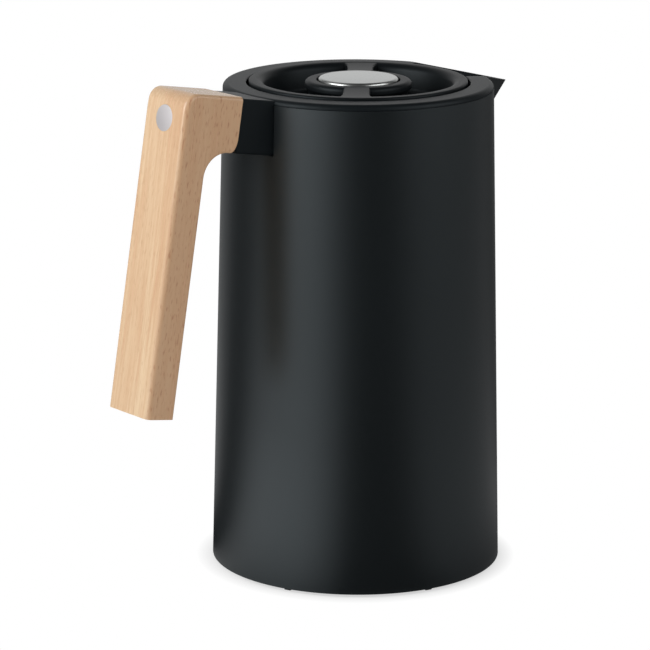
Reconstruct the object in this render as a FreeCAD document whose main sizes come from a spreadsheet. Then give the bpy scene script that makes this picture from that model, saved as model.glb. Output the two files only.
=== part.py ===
import FreeCAD, Part
import math
import os
import types

import Sketcher
from FreeCAD import Placement, Rotation, Vector

# Insulated serving jug: tapered shell, spouted collar, vacuum flask, wooden handle and a lift-out
# lid with a spring-loaded pour button. Millimetres and degrees. The origin is on the body's axis at
# the floor, +Z is up, +X points to the spout and -X to the handle.

SIZES = {
    # Shell and rim
    "rim_height": 231.5,
    "foot_height": 1.5,
    "shell_bottom_radius": 69.1,
    "shell_top_radius": 63.6,
    "shell_wall": 2.4,
    "seam_drop": 2.8,
    "shell_ledge_width": 8.0,
    "shell_ledge_thickness": 3.5,
    # Clearances and the overrun of cuts
    "slip_gap": 0.15,
    "guide_gap": 0.05,
    "seal_gap": 0.3,
    "seat_gap": 0.2,
    "overrun": 1.0,
    # Base
    "plate_thickness": 3.0,
    "plate_gap": 0.3,
    "foot_ring_inset": 9.3,
    "foot_ring_width": 6.0,
    "foot_ring_height": 2.9,
    "lug_width": 3.2,
    "lug_count": 6,
    "base_turn": 21.9,
    "base_screw_inset": 3.9,
    "base_screw_count": 3,
    "base_screw_radius": 1.6,
    "base_head_radius": 3.0,
    "base_head_height": 1.6,
    "base_head_sink": 0.2,
    "base_screw_length": 5.6,
    "cushion_inner_radius": 25.0,
    "cushion_outer_radius": 44.0,
    "cushion_thickness": 5.0,
    # Vacuum flask
    "flask_clearance": 8.5,
    "flask_wall": 0.6,
    "vacuum_gap": 4.5,
    "flask_floor_gap": 5.0,
    "flask_floor_round": 10.0,
    "cup_height": 10.0,
    "cup_round": 6.0,
    "neck_step": 8.0,
    "neck_length": 12.0,
    "shoulder_height": 10.0,
    "shoulder_round": 8.0,
    "neck_round": 5.0,
    "lip_width": 6.5,
    "gasket_thickness": 1.5,
    "gasket_width": 5.4,
    # Collar
    "rim_width": 11.1,
    "rim_round": 2.6,
    "bore_edge_round": 0.8,
    "funnel_drop": 14.0,
    "skirt_depth": 20.0,
    "ledge_drop": 23.0,
    "ledge_width": 3.0,
    "ledge_thickness": 2.5,
    "throat_step": 1.5,
    "collar_foot_width": 7.0,
    # Spout
    "spout_overhang": 29.4,
    "spout_tip_drop": 9.2,
    "spout_corner_inset": 2.1,
    "spout_corner_angle": 26.0,
    "spout_slot_angle": 23.6,
    "spout_wall": 2.0,
    "spout_floor_drop": 19.0,
    "keel_drop": 43.0,
    "beak_root": 5.0,
    # Handle
    "handle_width": 30.6,
    "handle_tilt": 9.4,
    "handle_rise": 3.2,
    "arm_reach": 31.4,
    "arm_height": 25.8,
    "grip_depth": 15.4,
    "grip_length": 148.5,
    "handle_corner_round": 5.0,
    "crook_round": 12.0,
    "handle_edge_round": 1.9,
    "bracket_length": 15.9,
    "bracket_root": 8.1,
    "bracket_inset": 0.7,
    "plug_radius": 6.3,
    "plug_thickness": 3.0,
    "plug_drop": 13.1,
    "handle_head_radius": 4.2,
    "handle_head_height": 3.0,
    "handle_head_sink": 8.9,
    "handle_screw_radius": 2.0,
    "handle_screw_engagement": 11.0,
    "washer_radius": 5.0,
    "washer_thickness": 0.8,
    "insert_radius": 3.6,
    "insert_length": 13.0,
    # Lid cover
    "lid_gap": 1.1,
    "lid_crown": 1.8,
    "lid_skirt_drop": 9.0,
    "lid_wall": 2.2,
    "crest_width": 6.6,
    "crest_outer_round": 3.2,
    "crest_inner_round": 4.0,
    "crest_thickness": 3.2,
    "dish_slope": 2.8,
    "dish_drop": 11.5,
    "dish_floor_thickness": 2.5,
    "dish_round": 3.0,
    "hub_wall": 5.5,
    "hub_undercut": 1.8,
    "hub_crown": 1.0,
    "hub_band": 3.6,
    "hub_flare": 1.6,
    "hub_round": 2.2,
    "hub_floor_drop": 13.5,
    "hub_floor_thickness": 2.5,
    "hub_floor_overhang": 0.8,
    "bridge_width": 12.6,
    "bridge_crown": 1.0,
    "bridge_end_inset": 4.6,
    "bridge_angle": 50.5,
    "post_inset": 2.8,
    "post_radius": 3.4,
    "post_count": 4,
    "lid_screw_radius": 1.2,
    "lid_head_radius": 2.2,
    "lid_head_height": 1.8,
    "lid_screw_length": 7.2,
    # Lid stopper and its seal
    "stopper_gap": 1.4,
    "stopper_wall": 2.6,
    "stopper_depth": 19.2,
    "stopper_floor_thickness": 2.4,
    "flange_overlap": 2.3,
    "stopper_flange_thickness": 3.5,
    "valve_seat_radius": 16.0,
    "seal_groove_drop": 7.7,
    "seal_groove_height": 3.5,
    "seal_groove_depth": 1.4,
    "seal_end_gap": 0.1,
    "seal_lip": 0.7,
    # Button, plunger and valve
    "button_radius": 19.0,
    "button_gap": 0.7,
    "button_crown": 2.5,
    "button_bevel": 1.0,
    "button_sheet": 0.8,
    "button_skirt": 7.5,
    "core_top_thickness": 3.7,
    "core_skirt": 4.0,
    "core_wall": 2.2,
    "core_boss_radius": 6.5,
    "core_boss_length": 5.4,
    "stem_radius": 4.0,
    "guide_radius": 8.0,
    "guide_length": 6.5,
    "oring_radius": 0.72,
    "oring_groove_radius": 2.3,
    "oring_groove_height": 1.7,
    "oring_drop": 1.2,
    "spring_radius": 9.5,
    "spring_wire_radius": 0.55,
    "spring_turns": 4,
    "valve_gap": 0.1,
    "valve_gasket_thickness": 1.9,
    "valve_gasket_inner_radius": 14.5,
    "valve_gasket_outer_radius": 19.5,
    "valve_plate_radius": 20.2,
    "valve_plate_thickness": 3.0,
    "valve_plate_round": 1.0,
    "valve_boss_height": 1.2,
    "valve_screw_radius": 1.25,
    "valve_screw_length": 10.0,
    "valve_head_radius": 3.4,
    "valve_head_height": 1.8,
    # Screw heads
    "socket_share": 0.55,
    "socket_depth_share": 0.6,
}

FULL_TURN = 360.0
HALF_TURN = 180.0
QUARTER_TURN = 90.0


class Size:
    """A number with the sheet expression that gives it, so that a sum of sizes stays live."""

    def __init__(self, value, text):
        self.value = value
        self.text = text

    def __add__(self, other):
        return Size(self.value + number(other), f"({self.text} + {words(other)})")

    def __sub__(self, other):
        return Size(self.value - number(other), f"({self.text} - {words(other)})")

    def __rsub__(self, other):
        return Size(number(other) - self.value, f"({words(other)} - {self.text})")

    def __mul__(self, other):
        return Size(self.value * number(other), f"({self.text} * {words(other)})")

    def __truediv__(self, other):
        return Size(self.value / number(other), f"({self.text} / {words(other)})")

    def __rtruediv__(self, other):
        return Size(number(other) / self.value, f"({words(other)} / {self.text})")

    def __neg__(self):
        return Size(-self.value, f"(0 - {self.text})")


def number(value):
    """The plain number of a size."""
    return value.value if isinstance(value, Size) else value


def words(value):
    """The sheet expression of a size."""
    return value.text if isinstance(value, Size) else repr(value)


def cosine(angle):
    return Size(math.cos(math.radians(number(angle))), f"cos({words(angle)})")


def sine(angle):
    return Size(math.sin(math.radians(number(angle))), f"sin({words(angle)})")


doc = FreeCAD.newDocument("jug")
sheet = doc.addObject("Spreadsheet::Sheet", "Sheet")
for row, (name, value) in enumerate(SIZES.items(), start=1):
    sheet.set(f"A{row}", name)
    sheet.set(f"B{row}", str(value))
    sheet.setAlias(f"B{row}", name)
doc.recompute()
size = types.SimpleNamespace(**{name: Size(value, f"Sheet.{name}") for name, value in SIZES.items()})

# Heights above the floor and radii that several pieces share
rim = size.rim_height
seam = rim - size.seam_drop
shell_foot = size.foot_height
plate_top = shell_foot + size.plate_thickness
cup_foot = plate_top + size.cushion_thickness
flask_floor = cup_foot + size.flask_wall + size.flask_floor_gap
ledge = rim - size.ledge_drop
collar_foot = ledge - size.ledge_thickness
lip = collar_foot - size.gasket_thickness
neck_foot = lip - size.neck_length
shoulder = neck_foot - size.shoulder_height
spout_floor = rim - size.spout_floor_drop
stopper_flange = ledge + size.seat_gap
stopper_top = stopper_flange + size.stopper_flange_thickness
stopper_foot = stopper_flange - size.stopper_depth
dish_floor = rim - size.dish_drop
dish_under = dish_floor - size.dish_floor_thickness
hub_floor = rim - size.hub_floor_drop
hub_under = hub_floor - size.hub_floor_thickness
hub_top = rim + size.hub_crown
guide_foot = hub_under - size.guide_length
button_top = rim + size.button_crown
core_top = button_top - size.button_sheet
core_under = core_top - size.core_top_thickness
gasket_top = stopper_foot - size.valve_gap
plate_face = gasket_top - size.valve_gasket_thickness
plate_foot = plate_face - size.valve_plate_thickness
button_bore = size.button_radius + size.button_gap
guide_bore = size.stem_radius + size.guide_gap
plug_radius = size.shell_top_radius - size.shell_wall - size.slip_gap
flask_jacket = size.flask_wall * 2 + size.vacuum_gap
flask_bore_radius = size.shell_top_radius - size.shell_wall - size.flask_clearance - flask_jacket
neck_radius = flask_bore_radius - size.neck_step
throat_radius = neck_radius + size.throat_step
collar_bore_radius = size.shell_top_radius - size.rim_width
beak_inner_radius = collar_bore_radius + size.beak_root
spout_reach = size.shell_top_radius + size.spout_overhang
spout_corner_radius = size.shell_top_radius - size.spout_corner_inset
arm_start = size.shell_top_radius + size.bracket_length
bracket_run = size.bracket_length + size.bracket_root
handle_top = rim + size.handle_rise
lid_radius = collar_bore_radius - size.lid_gap
inner_crest = lid_radius - size.crest_width
dish_radius = inner_crest - size.dish_slope
hub_radius = button_bore + size.hub_wall
hub_neck_radius = hub_radius - size.hub_undercut
hub_floor_radius = hub_radius + size.hub_floor_overhang
bridge_half_length = lid_radius - size.bridge_end_inset
stopper_radius = neck_radius - size.stopper_gap
stopper_flange_radius = throat_radius + size.flange_overlap
post_circle = stopper_flange_radius - size.post_inset
base_screw_turn = size.base_turn + FULL_TURN / (size.lug_count * 2)
half_width = size.handle_width / 2

nodes = []


def shell_inside(height):
    """The shell's inner radius at a height: the taper runs straight from the foot to the seam."""
    taper = (size.shell_bottom_radius - size.shell_top_radius) / (seam - shell_foot)
    return size.shell_bottom_radius - size.shell_wall - taper * (height - shell_foot)


plate_radius = shell_inside(plate_top) - size.plate_gap
base_screw_circle = plate_radius - size.base_screw_inset


def bind(thing, **sizes):
    """Ties properties of a document object to the sheet."""
    for name, value in sizes.items():
        thing.setExpression(name, words(value))


def put(thing, x=0, y=0, z=0):
    """Ties the place of a document object to the sheet, leaving its rotation alone."""
    for axis, value in (("x", x), ("y", y), ("z", z)):
        if isinstance(value, Size):
            thing.setExpression(f"Placement.Base.{axis}", words(value))


def turn(thing, axis, angle):
    """Turns a document object about an axis through its origin by a size of the sheet."""
    thing.Placement = Placement(Vector(), Rotation(axis, number(angle)))
    thing.setExpression("Placement.Rotation.Angle", words(angle))


def keep(thing, label):
    """Labels a finished piece and lists it for export."""
    thing.Label = label
    nodes.append(thing)
    return thing


def origin_feature(body, role):
    return next(feature for feature in body.Origin.OriginFeatures if feature.Role == role)


def corner_arc(before, corner, after, radius):
    """The two tangent points, the centre and the turning side of a rounded corner."""
    arriving = (corner - before).normalize()
    leaving = (after - corner).normalize()
    angle = arriving.getAngle(leaving)
    reach = radius * math.tan(angle / 2)
    side = math.copysign(1, arriving.x * leaving.y - arriving.y * leaving.x)
    start = corner - arriving * reach
    centre = start + Vector(-arriving.y, arriving.x, 0) * (side * radius)
    return start, corner + leaving * reach, centre, side


def outline(sketch, corners):
    """Draws a closed outline through (x, y) or (x, y, round) corners and ties each one to the sheet."""
    count = len(corners)
    points = [Vector(number(c[0]), number(c[1]), 0) for c in corners]
    rounds = [c[2] if len(c) > 2 else None for c in corners]
    after = points[1:] + points[:1]
    arcs = [
        corner_arc(points[i - 1], points[i], after[i], number(rounds[i])) if rounds[i] else None
        for i in range(count)
    ]
    lines = []
    for i in range(count):
        ending = arcs[(i + 1) % count]
        start = arcs[i][1] if arcs[i] else points[i]
        end = ending[0] if ending else after[i]
        lines.append(sketch.addGeometry(Part.LineSegment(start, end)))
    ties = []
    named = []

    def tie(kind, geometry, position, value, name):
        """Holds a point on an axis where its size is zero, and otherwise at a distance from it."""
        if isinstance(value, Size):
            named.append((len(ties), name, value))
            ties.append(Sketcher.Constraint(kind, -1, 1, geometry, position, number(value)))
        else:
            axis = -2 if kind == "DistanceX" else -1
            ties.append(Sketcher.Constraint("PointOnObject", geometry, position, axis))

    for i in range(count):
        arriving, leaving = lines[i - 1], lines[i]
        if arcs[i]:
            start, end, centre, side = arcs[i]
            first, last = (start, end) if side > 0 else (end, start)
            angles = [math.atan2(p.y - centre.y, p.x - centre.x) for p in (first, last)]
            circle = Part.Circle(centre, Vector(0, 0, 1), number(rounds[i]))
            arc = sketch.addGeometry(Part.ArcOfCircle(circle, *angles))
            held = sketch.addGeometry(Part.Point(points[i]), True)
            ends = (1, 2) if side > 0 else (2, 1)
            ties.append(Sketcher.Constraint("Tangent", arriving, 2, arc, ends[0]))
            ties.append(Sketcher.Constraint("Tangent", arc, ends[1], leaving, 1))
            ties.append(Sketcher.Constraint("PointOnObject", held, 1, arriving))
            ties.append(Sketcher.Constraint("PointOnObject", held, 1, leaving))
            named.append((len(ties), f"round{i}", rounds[i]))
            ties.append(Sketcher.Constraint("Radius", arc, number(rounds[i])))
        else:
            held = leaving
            ties.append(Sketcher.Constraint("Coincident", arriving, 2, leaving, 1))
        tie("DistanceX", held, 1, corners[i][0], f"across{i}")
        tie("DistanceY", held, 1, corners[i][1], f"up{i}")
    sketch.addConstraint(ties)
    for index, name, value in named:
        sketch.renameConstraint(index, name)
        sketch.setExpression(f"Constraints.{name}", words(value))


def sketched(body, name, role, corners):
    """A sketch of an outline on one of the body's own origin planes."""
    sketch = body.newObject("Sketcher::SketchObject", name)
    sketch.AttachmentSupport = [(origin_feature(body, role), "")]
    sketch.MapMode = "FlatFace"
    outline(sketch, corners)
    return sketch


def turned(name, corners):
    """A body turned about its Z axis from an outline of (radius, height) corners."""
    body = doc.addObject("PartDesign::Body", name)
    sketch = sketched(body, f"{name}_outline", "XZ_Plane", corners)
    revolution = body.newObject("PartDesign::Revolution", f"{name}_turning")
    revolution.Profile = sketch
    revolution.ReferenceAxis = (sketch, ["V_Axis"])
    revolution.Angle = FULL_TURN
    doc.recompute()
    return body


def shape_feature(body, kind, name, place=(0, 0, 0), rotation=None, **sizes):
    """Adds a primitive to a body, or cuts one from it, at a place in the body's own frame."""
    feature = body.newObject(f"PartDesign::{kind}", name)
    if rotation:
        feature.Placement = Placement(Vector(), rotation)
    bind(feature, **sizes)
    put(feature, *place)
    doc.recompute()
    return feature


def repeated(body, features, count, name):
    """Repeats features evenly about the body's Z axis."""
    pattern = body.newObject("PartDesign::PolarPattern", name)
    pattern.Originals = features
    pattern.Axis = (origin_feature(body, "Z_Axis"), [""])
    pattern.Angle = FULL_TURN
    pattern.setExpression("Occurrences", words(count))
    body.Tip = pattern
    doc.recompute()
    return pattern


def polyhedron(name, lower, upper):
    """A solid between two outlines of as many points, joined by flat or ruled sides."""
    wires = [Part.makePolygon(points + points[:1]) for points in (lower, upper)]
    solid = doc.addObject("Part::Feature", name)
    solid.Shape = Part.makeLoft(wires, True, True)
    return solid


def joined(kind, name, base, tool):
    """A cut, fuse or common of two document objects."""
    result = doc.addObject(f"Part::{kind}", name)
    result.Base = base
    result.Tool = tool
    result.Refine = True
    return result


def screws(name, circle, count, foot, radius, length, head_radius, head_height):
    """Screws on a circle about Z, heads down from the foot, with hexagon sockets."""
    body = doc.addObject("PartDesign::Body", name)
    body.AllowCompound = True
    seat = foot + head_height
    head = shape_feature(
        body, "AdditiveCylinder", f"{name}_head", (circle, 0, foot), Radius=head_radius, Height=head_height
    )
    shank = shape_feature(
        body, "AdditiveCylinder", f"{name}_shank", (circle, 0, seat), Radius=radius, Height=length
    )
    socket = shape_feature(
        body,
        "SubtractivePrism",
        f"{name}_socket",
        (circle, 0, foot),
        Circumradius=head_radius * size.socket_share,
        Height=head_height * size.socket_depth_share,
    )
    if isinstance(count, Size):
        repeated(body, [head, shank, socket], count, f"{name}_ring")
    return keep(body, name)


def on_screw_axis(thing, depth=0):
    """Lays a piece's Z axis along the handle screw, its zero at a depth below the handle's outer face."""
    tilt = size.handle_tilt
    run = size.arm_reach - depth
    turn(thing, Vector(0, 1, 0), tilt + QUARTER_TURN)
    put(
        thing,
        x=-arm_start - run * cosine(tilt) - size.plug_drop * sine(tilt),
        z=handle_top + run * sine(tilt) - size.plug_drop * cosine(tilt),
    )
    return thing


def keel_level(height, grow):
    """The beak's triangle at a height: a point on the keel and two corners behind it.

    The keel runs straight from the tip to the shell. The sides spread at the slope that takes them
    through the two rim corners, and stand out by grow, measured square to them.
    """
    tip_height = number(rim - size.spout_tip_drop)
    shell_radius = number(shell_inside(rim - size.keel_drop) + size.shell_wall)
    keel_run = (number(spout_reach) - shell_radius) / number(size.keel_drop - size.spout_tip_drop)
    across = number(spout_corner_radius * sine(size.spout_corner_angle))
    along = number(spout_corner_radius * cosine(size.spout_corner_angle))
    spread = across / (number(spout_reach) - along + keel_run * number(size.spout_tip_drop))
    point = number(spout_reach) - keel_run * (tip_height - height) + grow * math.hypot(1, 1 / spread)
    back = number(throat_radius)
    half = max(point - back, 0) * spread
    return [Vector(point, 0, height), Vector(back, half, height), Vector(back, -half, height)]


def beak_foot():
    """The height at which the keel, carried on inwards, reaches the beak's inner radius."""
    tip = keel_level(number(rim - size.spout_tip_drop), 0)[0]
    low = keel_level(number(rim - size.keel_drop), 0)[0]
    slope = (tip.z - low.z) / (tip.x - low.x)
    return tip.z - (tip.x - number(beak_inner_radius)) * slope


def shell_piece():
    """Tapered outer shell with a screwed ledge at its foot and notches for the bracket and the beak."""
    ledge_top = plate_top + size.shell_ledge_thickness
    ledge_inside = shell_inside(plate_top) - size.shell_ledge_width
    body = turned(
        "shell_body",
        [
            (size.shell_bottom_radius, shell_foot),
            (size.shell_top_radius, seam),
            (size.shell_top_radius - size.shell_wall, seam),
            (shell_inside(ledge_top), ledge_top),
            (ledge_inside, ledge_top),
            (ledge_inside, plate_top),
            (shell_inside(plate_top), plate_top),
            (shell_inside(shell_foot), shell_foot),
        ],
    )
    pilot = shape_feature(
        body,
        "SubtractiveCylinder",
        "shell_pilot",
        (
            base_screw_circle * cosine(base_screw_turn),
            base_screw_circle * sine(base_screw_turn),
            plate_top - size.overrun,
        ),
        Radius=size.base_screw_radius + size.guide_gap,
        Height=size.shell_ledge_thickness + size.overrun * 2,
    )
    repeated(body, [pilot], size.base_screw_count, "shell_pilots")
    gap = number(size.slip_gap)
    top = number(rim + size.overrun)
    notch = polyhedron("beak_notch", keel_level(beak_foot() - gap, gap), keel_level(top, gap))
    block = bracket_block("bracket_notch", size.slip_gap, size.seam_drop)
    beaked = joined("Cut", "shell_beak_cut", body, notch)
    return keep(joined("Cut", "shell_cut", beaked, block), "outer_shell")


def bracket_block(name, gap=0, rise=0):
    """The block that carries the handle, tilted with it: wider and lower by gap, taller by rise."""
    block = doc.addObject("Part::Box", name)
    tilt = size.handle_tilt
    run = bracket_run
    half = half_width - size.bracket_inset + gap
    lift = rise - size.bracket_inset
    bind(block, Length=run, Width=half * 2, Height=size.arm_height - size.bracket_inset + gap + lift)
    turn(block, Vector(0, 1, 0), tilt + HALF_TURN)
    put(
        block,
        x=run * cosine(tilt) + sine(tilt) * lift - arm_start,
        y=-half,
        z=handle_top + cosine(tilt) * lift - run * sine(tilt),
    )
    return block


def collar_piece():
    """Top ring with its funnel and ledge, the beak of the spout and the block for the handle."""
    bore = collar_bore_radius
    ring = turned(
        "collar_ring",
        [
            (bore, rim, size.bore_edge_round),
            (bore, rim - size.funnel_drop),
            (throat_radius + size.ledge_width, ledge),
            (throat_radius, ledge),
            (throat_radius, collar_foot),
            (throat_radius + size.collar_foot_width, collar_foot),
            (plug_radius, rim - size.skirt_depth),
            (plug_radius, seam),
            (size.shell_top_radius, seam),
            (size.shell_top_radius, rim, size.rim_round),
        ],
    )
    corner_across = number(spout_corner_radius * sine(size.spout_corner_angle))
    corner_along = number(spout_corner_radius * cosine(size.spout_corner_angle))
    tip = keel_level(number(rim - size.spout_tip_drop), 0)[0]
    roof = [tip] + [Vector(corner_along, side * corner_across, number(rim)) for side in (1, -1)]
    blank = polyhedron("beak_blank", keel_level(beak_foot(), 0), roof)
    core = doc.addObject("Part::Cylinder", "beak_core")
    bind(core, Radius=beak_inner_radius, Height=rim + size.overrun)
    trimmed = joined("Cut", "beak_trimmed", blank, core)
    block = bracket_block("bracket")
    whole = joined("Fuse", "collar_beaked", joined("Fuse", "collar_blocked", ring, block), trimmed)
    floor, top = number(spout_floor), number(rim + size.overrun)
    wall = number(size.spout_wall)
    groove = polyhedron("spout_groove", keel_level(floor, -wall), keel_level(top, -wall))
    reach = number(spout_reach)
    spread = reach * math.tan(math.radians(number(size.spout_slot_angle)))
    sector = [[Vector(0, 0, z), Vector(reach, spread, z), Vector(reach, -spread, z)] for z in (floor, top)]
    slot = polyhedron("spout_sector", *sector)
    channel = joined("Common", "spout_channel", groove, slot)
    socket = doc.addObject("Part::Cylinder", "insert_socket")
    bind(socket, Radius=size.insert_radius + size.guide_gap, Height=size.insert_length + size.overrun)
    on_screw_axis(socket, size.arm_reach - size.overrun)
    open_collar = joined("Cut", "collar_poured", whole, channel)
    return keep(joined("Cut", "collar_cut", open_collar, socket), "collar")


def base_pieces():
    """Base plate, its rubber foot ring with six lugs, its screws, and the cushion under the flask."""
    outer = plate_radius - size.foot_ring_inset
    inner = outer - size.foot_ring_width
    gap = size.slip_gap
    groove = size.foot_ring_height
    plate = turned(
        "base_plate",
        [
            (0, shell_foot),
            (inner - gap, shell_foot),
            (inner - gap, groove),
            (outer + gap, groove),
            (outer + gap, shell_foot),
            (plate_radius, shell_foot),
            (plate_radius, plate_top),
            (0, plate_top),
        ],
    )
    turn(plate, Vector(0, 0, 1), size.base_turn)
    slot = shape_feature(
        plate,
        "SubtractiveBox",
        "lug_slot",
        (outer, -size.lug_width / 2 - gap, shell_foot - size.overrun),
        Length=plate_radius - outer + size.overrun,
        Width=size.lug_width + gap * 2,
        Height=groove - shell_foot + size.overrun,
    )
    repeated(plate, [slot], size.lug_count, "lug_slots")
    angle = FULL_TURN / (size.lug_count * 2)
    across, along = base_screw_circle * sine(angle), base_screw_circle * cosine(angle)
    seat = size.base_head_sink + size.base_head_height
    hole = shape_feature(
        plate,
        "SubtractiveCylinder",
        "plate_hole",
        (along, across, shell_foot),
        Radius=size.base_screw_radius + gap,
        Height=size.plate_thickness + size.overrun,
    )
    sink = shape_feature(
        plate,
        "SubtractiveCylinder",
        "plate_sink",
        (along, across, shell_foot - size.overrun),
        Radius=size.base_head_radius + gap,
        Height=seat + size.overrun,
    )
    repeated(plate, [hole, sink], size.base_screw_count, "plate_holes")
    keep(plate, "base_plate")

    ring = turned("foot_ring", [(inner, 0), (outer, 0), (outer, groove), (inner, groove)])
    turn(ring, Vector(0, 0, 1), size.base_turn)
    lug = shape_feature(
        ring,
        "AdditiveBox",
        "lug",
        ((inner + outer) / 2, -size.lug_width / 2, 0),
        Length=plate_radius - (inner + outer) / 2,
        Width=size.lug_width,
        Height=groove,
    )
    repeated(ring, [lug], size.lug_count, "lugs")
    keep(ring, "foot_ring")

    fixings = screws(
        "base_screws",
        base_screw_circle,
        size.base_screw_count,
        shell_foot + size.base_head_sink,
        size.base_screw_radius,
        size.base_screw_length,
        size.base_head_radius,
        size.base_head_height,
    )
    turn(fixings, Vector(0, 0, 1), base_screw_turn)

    near, far = size.cushion_inner_radius, size.cushion_outer_radius
    cushion = turned("base_cushion", [(near, plate_top), (far, plate_top), (far, cup_foot), (near, cup_foot)])
    keep(cushion, "base_cushion")


def flask_pieces():
    """Double-walled steel flask: inner wall with the lip, outer wall, base cup, and the lip's gasket."""
    wall = size.flask_wall
    bore, neck = flask_bore_radius, neck_radius
    inside = flask_floor + wall
    bend, crook = size.shoulder_round, size.neck_round
    inner = turned(
        "flask_inner_wall",
        [
            (0, inside),
            (0, flask_floor),
            (bore + wall, flask_floor, size.flask_floor_round + wall),
            (bore + wall, shoulder, bend + wall),
            (neck + wall, neck_foot, crook - wall),
            (neck + wall, lip - wall),
            (neck + size.lip_width, lip - wall),
            (neck + size.lip_width, lip),
            (neck, lip),
            (neck, neck_foot, crook),
            (bore, shoulder, bend),
            (bore, inside, size.flask_floor_round),
        ],
    )
    keep(inner, "flask_inner_wall")

    jacket = bore + wall + size.vacuum_gap
    collar = neck + size.lip_width - wall
    joint = cup_foot + size.cup_height
    outer = turned(
        "flask_outer_wall",
        [
            (jacket, joint),
            (jacket + wall, joint),
            (jacket + wall, shoulder, bend + wall),
            (collar, neck_foot, crook - wall),
            (collar, lip - wall),
            (collar - wall, lip - wall),
            (collar - wall, neck_foot, crook),
            (jacket, shoulder, bend),
        ],
    )
    keep(outer, "flask_outer_wall")

    cup = turned(
        "flask_base_cup",
        [
            (0, cup_foot),
            (jacket + wall, cup_foot, size.cup_round),
            (jacket + wall, joint),
            (jacket, joint),
            (jacket, cup_foot + wall, size.cup_round - wall),
            (0, cup_foot + wall),
        ],
    )
    keep(cup, "flask_base_cup")

    near = throat_radius
    far = near + size.gasket_width
    gasket = turned("neck_gasket", [(near, lip), (far, lip), (far, collar_foot), (near, collar_foot)])
    keep(gasket, "neck_gasket")


def handle_pieces():
    """Wooden handle in the shape of a leaning seven, and what screws it to the collar's block."""
    reach, depth = size.arm_reach, size.grip_depth
    grip = doc.addObject("PartDesign::Body", "handle_grip")
    side = sketched(
        grip,
        "handle_side",
        "XZ_Plane",
        [
            (0, 0),
            (reach, 0, size.handle_corner_round),
            (reach, size.grip_length),
            (reach - depth, size.grip_length),
            (reach - depth, size.arm_height, size.crook_round),
            (0, size.arm_height),
        ],
    )
    pad = grip.newObject("PartDesign::Pad", "handle_blank")
    pad.Profile = side
    pad.SideType = "Symmetric"
    bind(pad, Length=size.handle_width)
    doc.recompute()
    near = number(size.slip_gap)
    edges = []
    for index, edge in enumerate(pad.Shape.Edges, start=1):
        box = edge.BoundBox
        at_end = box.ZMin > number(size.grip_length) - near or box.XMax < near
        if box.YLength < near and not at_end:
            edges.append(f"Edge{index}")
    rounding = grip.newObject("PartDesign::Fillet", "handle_rounding")
    rounding.Base = (pad, edges)
    bind(rounding, Radius=size.handle_edge_round)
    doc.recompute()
    inwards = Rotation(Vector(0, 1, 0), -QUARTER_TURN)
    seat = size.handle_head_sink + size.handle_head_height + size.washer_thickness
    bores = (
        ("plug_recess", size.plug_radius + size.guide_gap, size.plug_thickness),
        ("head_recess", size.washer_radius + size.slip_gap, seat),
        ("shank_bore", size.handle_screw_radius + size.slip_gap, reach + size.overrun),
    )
    for name, radius, far in bores:
        shape_feature(
            grip,
            "SubtractiveCylinder",
            name,
            (reach + size.overrun, 0, size.plug_drop),
            inwards,
            Radius=radius,
            Height=far + size.overrun,
        )
    turn(grip, Vector(0, 1, 0), size.handle_tilt + HALF_TURN)
    put(grip, x=-arm_start, z=handle_top)
    keep(grip, "handle_grip")

    radius, thick = size.plug_radius, size.plug_thickness
    plug = turned("handle_plug", [(0, 0), (radius, 0), (radius, thick), (0, thick)])
    keep(on_screw_axis(plug), "handle_plug")

    engaged = reach + size.handle_screw_engagement
    shank = engaged - size.handle_head_sink - size.handle_head_height
    screw = screws(
        "handle_screw",
        0,
        1,
        size.handle_head_sink,
        size.handle_screw_radius,
        shank,
        size.handle_head_radius,
        size.handle_head_height,
    )
    on_screw_axis(screw)

    hole, rim_radius = size.handle_screw_radius + size.slip_gap, size.washer_radius
    face = seat - size.washer_thickness
    washer = turned("handle_washer", [(hole, face), (rim_radius, face), (rim_radius, seat), (hole, seat)])
    keep(on_screw_axis(washer), "handle_washer")

    sleeve, end = size.insert_radius, reach + size.insert_length
    insert = turned("handle_insert", [(hole, reach), (sleeve, reach), (sleeve, end), (hole, end)])
    keep(on_screw_axis(insert), "handle_insert")


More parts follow.
